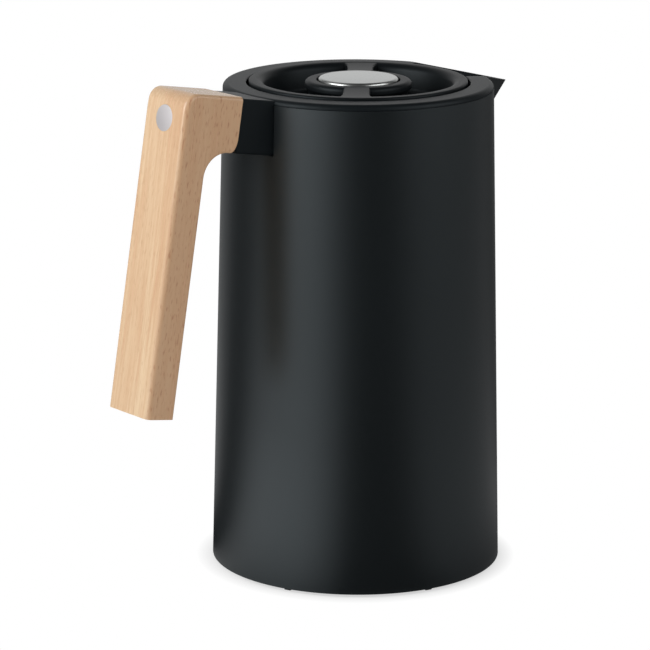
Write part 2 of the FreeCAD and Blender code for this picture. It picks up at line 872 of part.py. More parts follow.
def lid_cover_piece():
    """Lid cover: rounded ring, deep dish, hub with the button's bore, bridge, guide and screw posts."""
    crest = rim + size.lid_crown
    hollow = crest - size.crest_thickness
    skirt = rim - size.lid_skirt_drop
    shoulder_foot = hub_top - size.hub_band
    cover = turned(
        "lid_cover",
        [
            (0, guide_foot),
            (size.guide_radius, guide_foot),
            (size.guide_radius, hub_under),
            (hub_floor_radius, hub_under),
            (hub_floor_radius, dish_under),
            (inner_crest, dish_under),
            (inner_crest, hollow),
            (lid_radius - size.lid_wall, hollow),
            (lid_radius - size.lid_wall, skirt),
            (lid_radius, skirt),
            (lid_radius, crest, size.crest_outer_round),
            (inner_crest, crest, size.crest_inner_round),
            (dish_radius, dish_floor, size.dish_round),
            (hub_neck_radius, dish_floor),
            (hub_neck_radius, shoulder_foot - size.hub_flare),
            (hub_radius, shoulder_foot),
            (hub_radius, hub_top, size.hub_round),
            (button_bore, hub_top),
            (button_bore, hub_floor),
            (0, hub_floor),
        ],
    )
    turn(cover, Vector(0, 0, 1), size.bridge_angle)
    shape_feature(
        cover,
        "AdditiveBox",
        "bridge",
        (-bridge_half_length, -size.bridge_width / 2, dish_under),
        Length=bridge_half_length * 2,
        Width=size.bridge_width,
        Height=rim + size.bridge_crown - dish_under,
    )
    shape_feature(
        cover,
        "SubtractiveCylinder",
        "button_well",
        (0, 0, hub_floor),
        Radius=button_bore,
        Height=hub_top + size.overrun - hub_floor,
    )
    shape_feature(
        cover,
        "SubtractiveCylinder",
        "guide",
        (0, 0, guide_foot - size.overrun),
        Radius=guide_bore,
        Height=hub_floor - guide_foot + size.overrun * 2,
    )
    post = shape_feature(
        cover,
        "AdditiveCylinder",
        "post",
        (post_circle, 0, stopper_top),
        Radius=size.post_radius,
        Height=dish_under + size.dish_floor_thickness / 2 - stopper_top,
    )
    pilot = shape_feature(
        cover,
        "SubtractiveCylinder",
        "post_pilot",
        (post_circle, 0, stopper_top - size.overrun),
        Radius=size.lid_screw_radius + size.guide_gap,
        Height=dish_under + size.overrun - stopper_top + size.dish_floor_thickness / 2,
    )
    repeated(cover, [post, pilot], size.post_count, "posts")
    keep(cover, "lid_cover")


def stopper_pieces():
    """Stopper under the cover with its valve seat, the screws that hold it, and the seal round it."""
    radius = stopper_radius
    inside = radius - size.stopper_wall
    groove_top = stopper_flange - size.seal_groove_drop
    groove_foot = groove_top - size.seal_groove_height
    groove = radius - size.seal_groove_depth
    floor = stopper_foot + size.stopper_floor_thickness
    stopper = turned(
        "lid_stopper",
        [
            (size.valve_seat_radius, stopper_foot),
            (radius, stopper_foot),
            (radius, groove_foot),
            (groove, groove_foot),
            (groove, groove_top),
            (radius, groove_top),
            (radius, stopper_flange),
            (stopper_flange_radius, stopper_flange),
            (stopper_flange_radius, stopper_top),
            (inside, stopper_top),
            (inside, floor),
            (size.valve_seat_radius, floor),
        ],
    )
    turn(stopper, Vector(0, 0, 1), size.bridge_angle)
    sunk = size.lid_head_height + size.seat_gap
    hole = shape_feature(
        stopper,
        "SubtractiveCylinder",
        "flange_hole",
        (post_circle, 0, stopper_flange),
        Radius=size.lid_screw_radius + size.slip_gap,
        Height=size.stopper_flange_thickness + size.overrun,
    )
    sink = shape_feature(
        stopper,
        "SubtractiveCylinder",
        "flange_sink",
        (post_circle, 0, stopper_flange - size.overrun),
        Radius=size.lid_head_radius + size.slip_gap,
        Height=sunk + size.overrun,
    )
    repeated(stopper, [hole, sink], size.post_count, "flange_holes")
    keep(stopper, "lid_stopper")

    fixings = screws(
        "lid_screws",
        post_circle,
        size.post_count,
        stopper_flange + size.seat_gap,
        size.lid_screw_radius,
        size.lid_screw_length,
        size.lid_head_radius,
        size.lid_head_height,
    )
    turn(fixings, Vector(0, 0, 1), size.bridge_angle)

    end = size.seal_end_gap
    near = groove + size.guide_gap
    lip_radius = neck_radius - size.seal_gap
    root = lip_radius - size.seal_lip
    foot, top = groove_foot + end, groove_top - end
    step = (top - foot) / 4
    seal = turned(
        "lid_seal",
        [
            (near, foot),
            (root, foot),
            (lip_radius, foot + step),
            (root, foot + step * 2),
            (lip_radius, foot + step * 3),
            (root, top),
            (near, top),
        ],
    )
    keep(seal, "lid_seal")


def plunger_pieces():
    """Steel button on its core, the stem with its ring seal, and the valve that it pushes open."""
    radius, sheet_wall = size.button_radius, size.button_sheet
    core_radius = radius - sheet_wall - size.slip_gap
    skirt = button_top - size.button_skirt
    bevel = size.button_bevel
    cap = turned(
        "button_cap",
        [
            (0, core_top),
            (radius - sheet_wall, core_top),
            (radius - sheet_wall, skirt),
            (radius, skirt),
            (radius, button_top - bevel),
            (radius - bevel, button_top),
            (0, button_top),
        ],
    )
    keep(cap, "button_cap")

    boss, socket = size.core_boss_radius, guide_bore
    core = turned(
        "button_core",
        [
            (0, core_under),
            (socket, core_under),
            (socket, core_under - size.core_boss_length),
            (boss, core_under - size.core_boss_length),
            (boss, core_under),
            (core_radius - size.core_wall, core_under),
            (core_radius - size.core_wall, core_under - size.core_skirt),
            (core_radius, core_under - size.core_skirt),
            (core_radius, core_top),
            (0, core_top),
        ],
    )
    keep(core, "button_core")

    stem_radius = size.stem_radius
    groove_top = hub_floor - size.oring_drop
    groove_foot = groove_top - size.oring_groove_height
    drilled = size.valve_screw_length - size.valve_plate_thickness + size.overrun
    bore = size.valve_screw_radius + size.guide_gap
    stem = turned(
        "plunger_stem",
        [
            (0, plate_face + drilled),
            (bore, plate_face + drilled),
            (bore, plate_face),
            (stem_radius, plate_face),
            (stem_radius, groove_foot),
            (size.oring_groove_radius, groove_foot),
            (size.oring_groove_radius, groove_top),
            (stem_radius, groove_top),
            (stem_radius, core_under),
            (0, core_under),
        ],
    )
    keep(stem, "plunger_stem")

    ring = doc.addObject("Part::Torus", "oring")
    bind(
        ring,
        Radius1=size.oring_groove_radius + size.oring_radius + size.guide_gap,
        Radius2=size.oring_radius,
    )
    put(ring, z=(groove_foot + groove_top) / 2)
    keep(ring, "stem_oring")

    near, far = size.valve_gasket_inner_radius, size.valve_gasket_outer_radius
    corners = [(near, plate_face), (far, plate_face), (far, gasket_top), (near, gasket_top)]
    gasket = turned("valve_gasket", corners)
    keep(gasket, "valve_gasket")

    hole = size.valve_screw_radius + size.slip_gap
    recess = stem_radius + size.slip_gap
    boss_top = plate_face + size.valve_boss_height
    boss_radius = near - size.slip_gap
    plate = turned(
        "valve_plate",
        [
            (hole, plate_foot),
            (size.valve_plate_radius, plate_foot, size.valve_plate_round),
            (size.valve_plate_radius, plate_face),
            (boss_radius, plate_face),
            (boss_radius, boss_top),
            (recess, boss_top),
            (recess, plate_face),
            (hole, plate_face),
        ],
    )
    keep(plate, "valve_plate")

    screws(
        "valve_screw",
        0,
        1,
        plate_foot - size.valve_head_height,
        size.valve_screw_radius,
        size.valve_screw_length,
        size.valve_head_radius,
        size.valve_head_height,
    )


def biarc(start, start_way, end, end_way):
    """Two arcs that meet in one direction between two points with given directions."""
    chord = end - start
    ways = start_way + end_way
    bend = 2 * (1 - start_way.dot(end_way))
    pull = chord.dot(ways)
    reach = (math.sqrt(pull * pull + bend * chord.dot(chord)) - pull) / bend
    middle = (start + start_way * reach + end - end_way * reach) * 0.5
    return [arc_from(start, start_way, middle), arc_from(end, -end_way, middle)]


def arc_from(start, way, end):
    """The arc that leaves a point in a direction and ends at another point."""
    chord = end - start
    along = chord.normalize()
    length = start.distanceToPoint(end)
    out = (way - along * way.dot(along)).normalize()
    sag = length / 2 * math.tan(way.getAngle(along) / 2)
    return Part.Arc(start, (start + end) * 0.5 + out * sag, end).toShape()


def spring_piece():
    """Compression spring round the stem: a wire along a helix of quarter turns, each of two arcs."""
    radius, wire = number(size.spring_radius), number(size.spring_wire_radius)
    inset = wire + number(size.seat_gap)
    foot, top = number(hub_floor) + inset, number(core_under) - inset
    quarters = round(4 * number(size.spring_turns))
    rise = (top - foot) / quarters
    slope = rise / (math.pi / 2)

    def place(step):
        angle = step * math.pi / 2
        return Vector(radius * math.cos(angle), radius * math.sin(angle), foot + rise * step)

    def way(step):
        angle = step * math.pi / 2
        return Vector(-radius * math.sin(angle), radius * math.cos(angle), slope).normalize()

    edges = []
    for step in range(quarters):
        first, second = biarc(place(step), way(step), place(step + 1), way(step + 1))
        edges += [first, second]
    path = Part.Wire(Part.__sortEdges__(edges))
    section = Part.Wire(Part.Circle(place(0), way(0), wire).toShape())
    spring = doc.addObject("Part::Feature", "spring")
    spring.Shape = path.makePipeShell([section], True, False)
    length = quarters * math.hypot(radius * math.pi / 2, rise)
    print("spring volume share", round(spring.Shape.Volume / (math.pi * wire * wire * length), 4))
    print("spring least gap", round(4 * rise * math.cos(math.atan2(slope, radius)) - 2 * wire, 3))
    keep(spring, "return_spring")


shell_piece()
collar_piece()
base_pieces()
flask_pieces()
handle_pieces()
lid_cover_piece()
stopper_pieces()
plunger_pieces()
spring_piece()
doc.recompute()

broken = [thing.Name for thing in doc.Objects if {"Invalid", "Error"} & set(thing.State)]
broken += [thing.Label for thing in nodes if thing.Shape.isNull() or not thing.Shape.isValid()]
if broken:
    raise RuntimeError(f"pieces that failed: {broken}")
os.makedirs("parts", exist_ok=True)
for thing in nodes:
    thing.Shape.exportStep(os.path.join("parts", f"{thing.Label}.step"))
    print(thing.Label, len(thing.Shape.Solids), round(thing.Shape.Volume, 1))
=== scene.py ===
import math

import bmesh
import bpy
import numpy as np
from bpy.props import FloatProperty, FloatVectorProperty, PointerProperty
from mathutils import Matrix, Vector


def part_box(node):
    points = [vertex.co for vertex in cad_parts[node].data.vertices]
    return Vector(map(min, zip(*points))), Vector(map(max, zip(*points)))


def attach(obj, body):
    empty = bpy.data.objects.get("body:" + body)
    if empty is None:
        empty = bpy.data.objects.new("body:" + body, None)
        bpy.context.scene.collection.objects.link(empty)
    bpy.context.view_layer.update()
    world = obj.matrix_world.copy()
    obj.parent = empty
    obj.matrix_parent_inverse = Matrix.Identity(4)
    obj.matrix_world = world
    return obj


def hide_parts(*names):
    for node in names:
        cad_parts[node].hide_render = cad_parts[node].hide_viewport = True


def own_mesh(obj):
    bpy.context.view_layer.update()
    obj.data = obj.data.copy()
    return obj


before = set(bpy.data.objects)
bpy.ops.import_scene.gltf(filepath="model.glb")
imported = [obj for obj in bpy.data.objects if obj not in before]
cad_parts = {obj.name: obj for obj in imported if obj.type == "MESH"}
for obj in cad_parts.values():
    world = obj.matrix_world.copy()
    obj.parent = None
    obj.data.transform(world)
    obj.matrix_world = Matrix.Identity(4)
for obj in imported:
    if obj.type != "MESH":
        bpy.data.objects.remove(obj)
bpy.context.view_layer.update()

bl_info = {
    "name": "Insulated Jug",
    "version": (1, 0, 0),
    "blender": (4, 5, 0),
    "location": "View3D > Sidebar > Jug",
    "description": "Dresses an insulated serving jug: shell, collar, wooden handle, lid and pour valve",
    "category": "Object",
}

MM = 0.001
FULL_TURN = 2 * math.pi

# Steps of the meshes: round a full turn, and through a rounded corner
TURN_STEPS = 240
ARC_STEPS = 8
# Metres within which points of a mesh are merged, and degrees over which its edges are drawn sharp
MERGE_DISTANCE = 1e-7
SHARP_ANGLE = 32.0
BEAK_ANGLE = 15.0
# Rows of the shell below the bracket's underside and beside the bracket, and passes that find its V
SHELL_ROWS = 40
NOTCH_ROWS = 7
VEE_PASSES = 4
# Cosine under which a column of the shell is near the bracket
NOTCH_SIDE = -0.9
# Stations of the bracket and of the bridge's arm, and the power that bends the arm's fillet
BRACKET_STATIONS = 4
BRIDGE_STATIONS = 14
FILLET_POWER = 6
# Steps along a turn of the spring, and round its wire
COIL_STEPS = 48
WIRE_STEPS = 12
# Millimetres by which the radii of the plug and the button are smaller than those of their solids
RADIUS_TRIM = 0.25

# Floor: radii of its rings in metres, and steps round it
FLOOR_RINGS = (0.0, 0.3, 1.0, 3.0, 9.0)
FLOOR_STEPS = 64
# Distances from the axis between which the floor changes, in metres, and its shares at both of them
SHADOW_SPAN = (0.068, 0.077, 0.6, 1.0)
# The next two spans are painted shade in reflections: the floor reflected darker close to the foot, and a
# little dimmer further out
FOOT_SHADE_SPAN = (0.075, 0.16, 0.4, 1.0)
FAR_SHADE_SPAN = (0.3, 0.5, 1.0, 0.72)
# Bright sides in reflections: degrees to the camera's left, cosines where it starts and is full, level
FLOOR_SIDES = ((51, 0.7, 0.95, 1.0), (165, 0.66, 0.97, 0.5), (-90, 0.52, 0.8, 0.28))
STUDIO_SIDES = ((180, 0.62, 0.97, 0.85), (101, 0.86, 0.98, 0.22))
# Light panels: degrees to the camera's left, height, distance from the axis and sides in metres
PANELS = {
    "key": (42, 0.27, 0.8, (0.55, 0.5)),
    "left": (66, 0.66, 1.1, (0.9, 0.7)),
    "fill": (-64, 0.75, 1.1, (1.2, 0.8)),
    "top": (140, 1.2, 0.85, (0.9, 0.9)),
}
# Point at which the panels are aimed
PANEL_AIM = Vector((0, 0, 0.13))


def length(name, millimetres, description):
    """A length property with its default given in millimetres."""
    return FloatProperty(
        name=name, description=description, default=millimetres * MM, unit="LENGTH", precision=5
    )


def angle(name, degrees, description):
    """An angle property with its default given in degrees."""
    return FloatProperty(name=name, description=description, default=math.radians(degrees), subtype="ANGLE")


def colour(name, red, green, blue, description):
    """A linear colour property."""
    return FloatVectorProperty(
        name=name, description=description, default=(red, green, blue), subtype="COLOR", min=0, max=1
    )


def level(name, value, description):
    """A plain number property."""
    return FloatProperty(name=name, description=description, default=value, min=0)


def extent(node, axis):
    """A node's size along an axis of the frame, in millimetres."""
    low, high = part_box(node)
    return (high[axis] - low[axis]) / MM


class JugBodySizes(bpy.types.PropertyGroup):
    """Shell, collar, beak and flask."""

    rim: length("Rim height", 231.5, "Height of the collar's top face")
    foot: length("Foot height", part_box("outer_shell")[0].z / MM, "Height of the shell's lower edge")
    seam: length("Seam height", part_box("outer_shell")[1].z / MM, "Height of the seam under the collar")
    shell_bottom: length("Foot radius", extent("outer_shell", 0) / 2, "Radius at the shell's lower edge")
    shell_top: length("Shell top radius", 63.6, "Radius at the seam and the rim")
    shell_wall: length("Shell wall", 2.4, "Thickness of the shell")
    slip_gap: length("Slip gap", 0.15, "Gap between fitted mouldings")
    notch_gap: length("Notch gap", 0.35, "Gap at the sides of the bracket where it passes the shell")
    notch_drop: length("Notch drop", 0.2, "Gap under the bracket where it passes the shell")
    seam_chamfer: length("Seam chamfer", 0.35, "Chamfer that draws the seam's dark line")
    rim_round: length("Rim round", 2.6, "Round of the collar's outer top edge")
    bore: length("Collar bore", 52.5, "Radius of the hole that takes the lid")
    bore_round: length("Bore round", 0.8, "Round of the bore's top edge")
    funnel_drop: length("Funnel drop", 14.0, "Depth at which the bore turns into the funnel")
    skirt_depth: length("Skirt depth", 20.0, "Depth of the skirt inside the shell")
    ledge_drop: length("Ledge drop", 23.0, "Depth of the ledge that carries the lid")
    ledge_width: length("Ledge width", 3.0, "Width of that ledge")
    ledge_thickness: length("Ledge thickness", 2.5, "Thickness under that ledge")
    throat: length("Throat radius", 40.5, "Radius of the collar's lowest hole")
    throat_width: length("Throat ring width", 7.0, "Width of the collar's foot on the flask's lip")
    beak_reach: length("Beak reach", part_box("collar")[1].x / MM, "Distance of the beak's tip from the axis")
    beak_drop: length("Beak tip drop", 9.2, "How far the tip lies below the rim")
    beak_corner: length("Beak corner radius", 61.5, "Distance of the beak's two rim corners from the axis")
    beak_angle: angle("Beak corner angle", 26.0, "Half angle between the beak's rim corners")
    beak_wall: length("Beak wall", 2.0, "Thickness of the beak's sides")
    beak_floor_drop: length("Pour floor drop", 19.0, "Depth of the pouring channel's floor")
    keel_drop: length("Keel drop", 43.0, "How far below the rim the keel meets the shell")
    slot_angle: angle("Slot angle", 23.3, "Half angle of the slot where the collar opens to the beak")
    flask_bore: length("Flask bore", 47.0, "Inner radius of the flask")
    flask_wall: length("Flask wall", 0.6, "Thickness of the flask's steel")
    flask_neck: length("Flask neck", 39.0, "Inner radius of the flask's neck")
    flask_lip: length("Flask lip", 6.5, "Width of the flask's turned-out lip")
    flask_shoulder: length("Flask shoulder", 22.0, "Distance of the shoulder's foot below the lip")
    flask_throat: length("Flask throat", 12.0, "Distance of the shoulder's top below the lip")
    flask_floor_round: length("Flask floor round", 10.0, "Round of the flask's floor")
    flask_shoulder_round: length("Flask shoulder round", 8.0, "Round of the shoulder's foot")
    flask_neck_round: length("Flask neck round", 5.0, "Round of the shoulder's top")


class JugHandleSizes(bpy.types.PropertyGroup):
    """Wooden handle, the bracket that carries it, and its plug."""

    width: length("Handle width", extent("handle_grip", 1), "Width of the wood")
    tilt: angle("Handle tilt", 9.4, "How far the handle leans out from the vertical")
    rise: length("Handle rise", 3.2, "Height of the wood's top over the rim, where it meets the bracket")
    start: length("Handle start", 79.5, "Distance of the wood's end from the axis")
    reach: length("Arm reach", 31.4, "Length of the upper arm")
    arm: length("Arm height", 25.8, "Height of the upper arm")
    depth: length("Grip depth", 15.4, "Thickness of the grip")
    drop: length("Grip length", 148.5, "Length of the grip's outer face")
    corner_round: length("Corner round", 6.6, "Round of the upper outer corner")
    lean_in: length("Lean in", 0.8, "How far the outer face draws in at its top")
    lean_drop: length("Lean drop", 8.5, "Distance below the wood's top at which it starts to draw in")
    lean_round: length("Lean round", 40.0, "Radius of the curve where it starts")
    crook_round: length("Crook round", 12.0, "Round of the inner corner under the arm")
    heel_rise: length("Heel rise", 4.8, "Height at which the arm's end starts to draw in to its lower corner")
    heel_run: length("Heel run", 1.9, "How far it draws in")
    heel_bow: length("Heel bow", 12.0, "Radius of the curve where it starts")
    heel_round: length("Heel round", 0.9, "Round of the arm's lower corner at the bracket")
    edge_round: length("Edge round", 1.9, "Round of the long edges")
    outer_round: length("Outer edge round", 2.7, "Round of the outer face's two long edges")
    end_round: length("End round", 0.5, "Eased edge at the square-cut end")
    inset: length("Bracket inset", 0.7, "How far the wood stands proud of the bracket")
    bracket: length("Bracket length", 24.0, "Length of the bracket into the collar")
    bracket_low: length("Bracket underside", 25.9, "Depth of the bracket's underside below the wood's top")
    bracket_round: length("Bracket round", 0.5, "Round of the bracket's edges")
    bracket_under: length("Bracket lower round", 1.2, "Round of the bracket's two lower edges")
    plug_drop: length("Plug drop", 13.1, "Distance of the plug below the wood's top")
    plug: length("Plug radius", extent("handle_plug", 1) / 2 - RADIUS_TRIM, "Radius of the metal plug")
    plug_depth: length("Plug depth", 3.0, "Thickness of the plug in the wood")
    plug_proud: length("Plug proud", 0.03, "How far the plug's face stands out of the wood")
    plug_round: length("Plug round", 0.1, "Round of the plug's edge")


class JugLidSizes(bpy.types.PropertyGroup):
    """Lid cover, bridge, stopper, seal, button and valve."""

    radius: length("Lid radius", extent("lid_cover", 0) / 2, "Radius of the lid")
    crown: length("Lid crown", 1.1, "Height of the ring's crest over the rim")
    skirt: length("Lid skirt", 9.0, "Depth of the lid's outer skirt below the rim")
    wall: length("Lid wall", 2.2, "Thickness of the skirt")
    crest: length("Crest width", 6.6, "Width of the ring's crest")
    crest_outer: length("Crest outer round", 1.0, "Round of the ring's outer edge")
    crest_inner: length("Crest inner round", 4.0, "Round of the ring's inner edge")
    crest_thickness: length("Crest thickness", 3.2, "Thickness under the crest")
    dish_slope: length("Dish slope", 2.8, "How far the dish draws in from the crest to its floor")
    dish_drop: length("Dish drop", 11.5, "Depth of the dish below the rim")
    dish_floor: length("Dish floor", 2.5, "Thickness of the dish's floor")
    dish_round: length("Dish round", 3.0, "Round of the dish's foot")
    hub: length("Hub radius", 25.2, "Radius of the hub's shoulder")
    hub_neck: length("Hub neck", 23.4, "Radius of the hub below its shoulder")
    hub_crown: length("Hub crown", 1.0, "Height of the hub over the rim")
    hub_band: length("Hub band", 3.6, "Height of the hub's shoulder")
    hub_flare: length("Hub flare", 1.6, "Height of the slope under the shoulder")
    hub_round: length("Hub round", 2.2, "Round of the hub's top edge")
    hub_floor_drop: length("Hub floor drop", 13.5, "Depth of the button's well")
    well: length("Button well", 19.7, "Radius of the button's well")
    guide: length("Guide radius", 8.0, "Outer radius of the stem's guide")
    guide_drop: length("Guide drop", 22.5, "Depth of the guide's foot below the rim")
    stem_bore: length("Stem bore", 4.05, "Radius of the guide's bore")
    bridge_half: length("Bridge half width", 6.2, "Half width of the bridge at its narrowest")
    bridge_flare: length("Bridge flare", 4.0, "Extra half width where the bridge meets the ring")
    bridge_crown: length("Bridge crown", 0.95, "Height of the bridge over the rim")
    bridge_dip: length("Bridge dip", 0.3, "How far the bridge sags between hub and ring")
    bridge_round: length("Bridge round", 1.0, "Round of the bridge's edges")
    bridge_angle: angle("Bridge angle", 49.0, "Direction of the bridge")
    stopper: length("Stopper radius", 37.6, "Radius of the plug in the neck")
    stopper_wall: length("Stopper wall", 2.6, "Thickness of the stopper's wall")
    flange: length("Flange radius", extent("lid_stopper", 0) / 2, "Radius of the stopper's flange")
    flange_thickness: length("Flange thickness", 3.5, "Thickness of the flange")
    stopper_floor: length("Stopper floor", 2.4, "Thickness of the stopper's floor")
    valve_seat: length("Valve seat", 16.0, "Radius of the hole that the valve shuts")
    groove_drop: length("Groove drop", 7.7, "Distance of the seal's groove below the flange")
    groove_height: length("Groove height", 3.5, "Height of the seal's groove")
    groove_depth: length("Groove depth", 1.4, "Depth of the seal's groove")
    seal: length("Seal radius", 36.25, "Inner radius of the seal")
    lip_reach: length("Lip reach", 0.7, "How far the seal's lips stand out of its band")
    lip_round: length("Lip round", 0.25, "Round of the lips")
    lip_hollow: length("Lip hollow", 0.3, "Round between the lips")
    lip_end: length("Lip end", 0.1, "Round of the seal's two ends")
    edge: length("Small edge", 0.35, "Round of small moulded edges")
    button: length("Button radius", extent("button_cap", 0) / 2 - RADIUS_TRIM, "Radius of the push button")
    button_drop: length("Button drop", 0.5, "How far the button's face lies below the full height")
    button_round: length("Button round", 1.4, "Round of the button's bright edge")
    button_sheet: length("Button sheet", 0.8, "Thickness of the button's sheet")
    spring_wire: length("Spring wire", 0.55, "Radius of the spring's wire")
    spring_turns: level("Spring turns", 4.0, "Number of the spring's turns")
    stem: length("Stem radius", 4.0, "Radius of the plunger's stem")
    plate_boss: length("Plate boss radius", 14.35, "Radius of the raised middle of the valve plate")
    plate_boss_height: length("Plate boss height", 1.2, "Height of that middle")
    plate_round: length("Plate round", 1.0, "Round of the valve plate's lower edge")


class JugFinish(bpy.types.PropertyGroup):
    """Colours of the jug's materials."""

    shell: colour("Shell", 0.0044, 0.006, 0.007, "Charcoal black of the shell")
    collar: colour("Collar", 0.0056, 0.0076, 0.009, "Charcoal black of collar and bracket")
    lid: colour("Lid", 0.0042, 0.0056, 0.0066, "Charcoal black of the lid")
    sheen: colour("Sheen", 0.84, 0.95, 1.0, "Cool tint of the reflections on plastic")
    base: colour("Base", 0.012, 0.0125, 0.0135, "Black of the base plate")
    rubber: colour("Rubber", 0.012, 0.012, 0.0125, "Black of the foot")
    cushion: colour("Cushion", 0.09, 0.09, 0.095, "Grey of the cushion under the flask")
    steel: colour("Steel", 0.5, 0.515, 0.505, "Satin steel of the button")
    flask: colour("Flask", 0.61, 0.61, 0.6, "Spun steel of the flask")
    plug: colour("Plug", 0.64, 0.615, 0.625, "Satin metal of the plug")
    brass: colour("Brass", 0.66, 0.46, 0.2, "Turned brass of the insert")
    silicone: colour("Silicone", 0.62, 0.62, 0.595, "Milky silicone of the seals")
    plunger: colour("Plunger", 0.045, 0.045, 0.047, "Dark grey of the plunger")
    wood_pale: colour("Pale wood", 0.785, 0.585, 0.38, "Early wood of the beech")
    # The deep wood is also blended over the handle's two side faces as painted shade
    wood_deep_and_side_shade: colour("Deep wood", 0.61, 0.35, 0.195, "Late wood of the beech")
    wood_fleck: colour("Wood fleck", 0.42, 0.17, 0.085, "Short dark flecks of the beech")
    paper: colour("Paper", 0.9, 0.9, 0.9, "Pale floor")
    paper_light: colour("Light paper", 0.93, 0.93, 0.93, "Palest clouds of the floor")


class JugStudio(bpy.types.PropertyGroup):
    """Camera and light."""

    turn: angle("Camera turn", 39.5, "Turn of the camera to the handle's side of straight on")
    distance: length("Camera distance", 1538.0, "Distance of the camera from the axis")
    height: length("Camera height", 500.0, "Height of the camera over the shell's lower edge")
    pitch: angle("Camera pitch", -14.158, "Downward tilt of the camera")
    yaw: angle("Camera yaw", 0.565, "Small turn that sets the jug right of centre")
    roll: angle("Camera roll", -0.22, "Small roll of the camera")
    lens: level("Lens", 184.05, "Focal length in millimetres on a 36 mm sensor")
    ambient: level("Ambient", 0.2, "Soft light from all round")
    dim: level("Dim studio", 0.05, "What reflections see of the studio between its bright sides")
    dim_floor: level("Dim floor", 0.035, "What reflections see of the floor between its bright sides")
    key: level("Key", 0.3, "Power of the small low panel at the left")
    left: level("Left", 10.6, "Power of the raised panel at the left")
    fill: level("Fill", 5.8, "Power of the panel at the right")
    top: level("Top", 0.5, "Power of the panel above and behind")


# Shapes


def rounded(corners, steps=ARC_STEPS):
    """A closed outline through (x, y) or (x, y, radius) corners.

    A corner with a radius r becomes an arc of that radius tangent to both sides: it starts
    r tan(turn / 2) before the corner, and its points are centre + r (cos a, sin a).
    """
    points = np.array([c[:2] for c in corners], float)
    pieces = []
    for i, c in enumerate(corners):
        radius = c[2] if len(c) > 2 else 0
        if radius <= 0:
            pieces.append(points[i:i + 1])
            continue
        arriving = points[i] - points[i - 1]
        leaving = points[(i + 1) % len(points)] - points[i]
        arriving, leaving = arriving / np.hypot(*arriving), leaving / np.hypot(*leaving)
        cross = arriving[0] * leaving[1] - arriving[1] * leaving[0]
        turning = math.atan2(cross, arriving @ leaving)
        start = points[i] - arriving * radius * math.tan(abs(turning) / 2)
        inward = np.array([-arriving[1], arriving[0]]) * math.copysign(1, turning)
        centre = start + inward * radius
        first = math.atan2(*(start - centre)[::-1])
        sweep = first + np.linspace(0, turning, steps + 1)
        pieces.append(centre + radius * np.stack([np.cos(sweep), np.sin(sweep)], 1))
    return np.concatenate(pieces)


def grid_faces(rows, columns, wrap_rows=False, wrap_columns=False):
    """Quads of a grid whose point (i, j) has the number i * columns + j."""
    i = np.arange(rows if wrap_rows else rows - 1)[:, None]
    j = np.arange(columns if wrap_columns else columns - 1)[None, :]
    up, on = (i + 1) % rows, (j + 1) % columns
    quads = np.stack([i * columns + j, i * columns + on, up * columns + on, up * columns + j], -1)
    return quads.reshape(-1, 4)


def ring_points(radius, angles, height):
    """Points (r cos a, r sin a, h) of a grid of radii, angles and heights, as one list."""
    points = np.stack([radius * np.cos(angles), radius * np.sin(angles), height + 0 * angles], -1)
    return points.reshape(-1, 3)


def turned(outline, start=0.0, sweep=FULL_TURN):
    """A closed outline of (r, h) turned about Z: at angle a its points are (r cos a, r sin a, h).

    A part turn is closed by its two end faces.
    """
    whole = sweep >= FULL_TURN
    steps = round(TURN_STEPS * sweep / FULL_TURN) + (0 if whole else 1)
    angles = start + np.linspace(0, sweep, steps, endpoint=not whole)
    faces = grid_faces(len(outline), steps, True, whole).tolist()
    if not whole:
        first = np.arange(len(outline)) * steps
        faces += [first.tolist(), (first + steps - 1)[::-1].tolist()]
    return ring_points(outline[:, :1], angles, outline[:, 1:]), faces


def carried(sections):
    """A closed section carried through stations: sections is stations x points x 3, ends closed flat."""
    stations, count = sections.shape[:2]
    faces = grid_faces(stations, count, False, True).tolist()
    first = np.arange(count)
    faces += [first[::-1].tolist(), (first + (stations - 1) * count).tolist()]
    return sections.reshape(-1, 3), faces


def piece(name, shape, material, body, stands_for=None, sharp=SHARP_ANGLE):
    """Puts points and faces into a mesh at the origin that rides on a body and may stand for a CAD node."""
    points, faces = shape
    mesh = bpy.data.meshes.new(name)
    mesh.from_pydata(points.tolist(), [], faces)
    work = bmesh.new()
    work.from_mesh(mesh)
    bmesh.ops.remove_doubles(work, verts=work.verts, dist=MERGE_DISTANCE)
    bmesh.ops.recalc_face_normals(work, faces=work.faces)
    work.to_mesh(mesh)
    work.free()
    mesh.shade_smooth()
    mesh.set_sharp_from_angle(angle=math.radians(sharp))
    mesh.materials.append(material)
    made = bpy.data.objects.new(name, mesh)
    bpy.context.scene.collection.objects.link(made)
    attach(made, body)
    if stands_for:
        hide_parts(stands_for)
    return made


def eased(made, width, limit=60.0, segments=3):
    """Bevels the edges of a piece that are sharper than a limit in degrees."""
    bevel = made.modifiers.new("eased_edges", "BEVEL")
    bevel.width = width
    bevel.segments = segments
    bevel.limit_method = "ANGLE"
    bevel.angle_limit = math.radians(limit)
    flat = made.modifiers.new("flat_faces", "WEIGHTED_NORMAL")
    flat.weight = 100
    flat.keep_sharp = True


def shell_radius(body, height):
    """Radius of the shell at a height: it falls straight from the foot to the seam."""
    taper = (body.shell_bottom - body.shell_top) / (body.seam - body.foot)
    return body.shell_bottom - taper * (height - body.foot)


def in_frame(body, handle, points):
    """Carries points from the handle's own axes, out along the arm, across and down the grip, to the frame.

    The axes lean by the tilt, and their origin is the wood's top corner at the bracket.
    """
    cos, sin = math.cos(handle.tilt), math.sin(handle.tilt)
    axes = np.array([[-cos, 0, sin], [0, -1, 0], [-sin, 0, -cos]])
    return points @ axes + np.array([-handle.start, 0, body.rim + handle.rise])


def beak_root(body):
    """Distance from the axis of the line between the beak's two rim corners."""
    return body.beak_corner * math.cos(body.beak_angle)


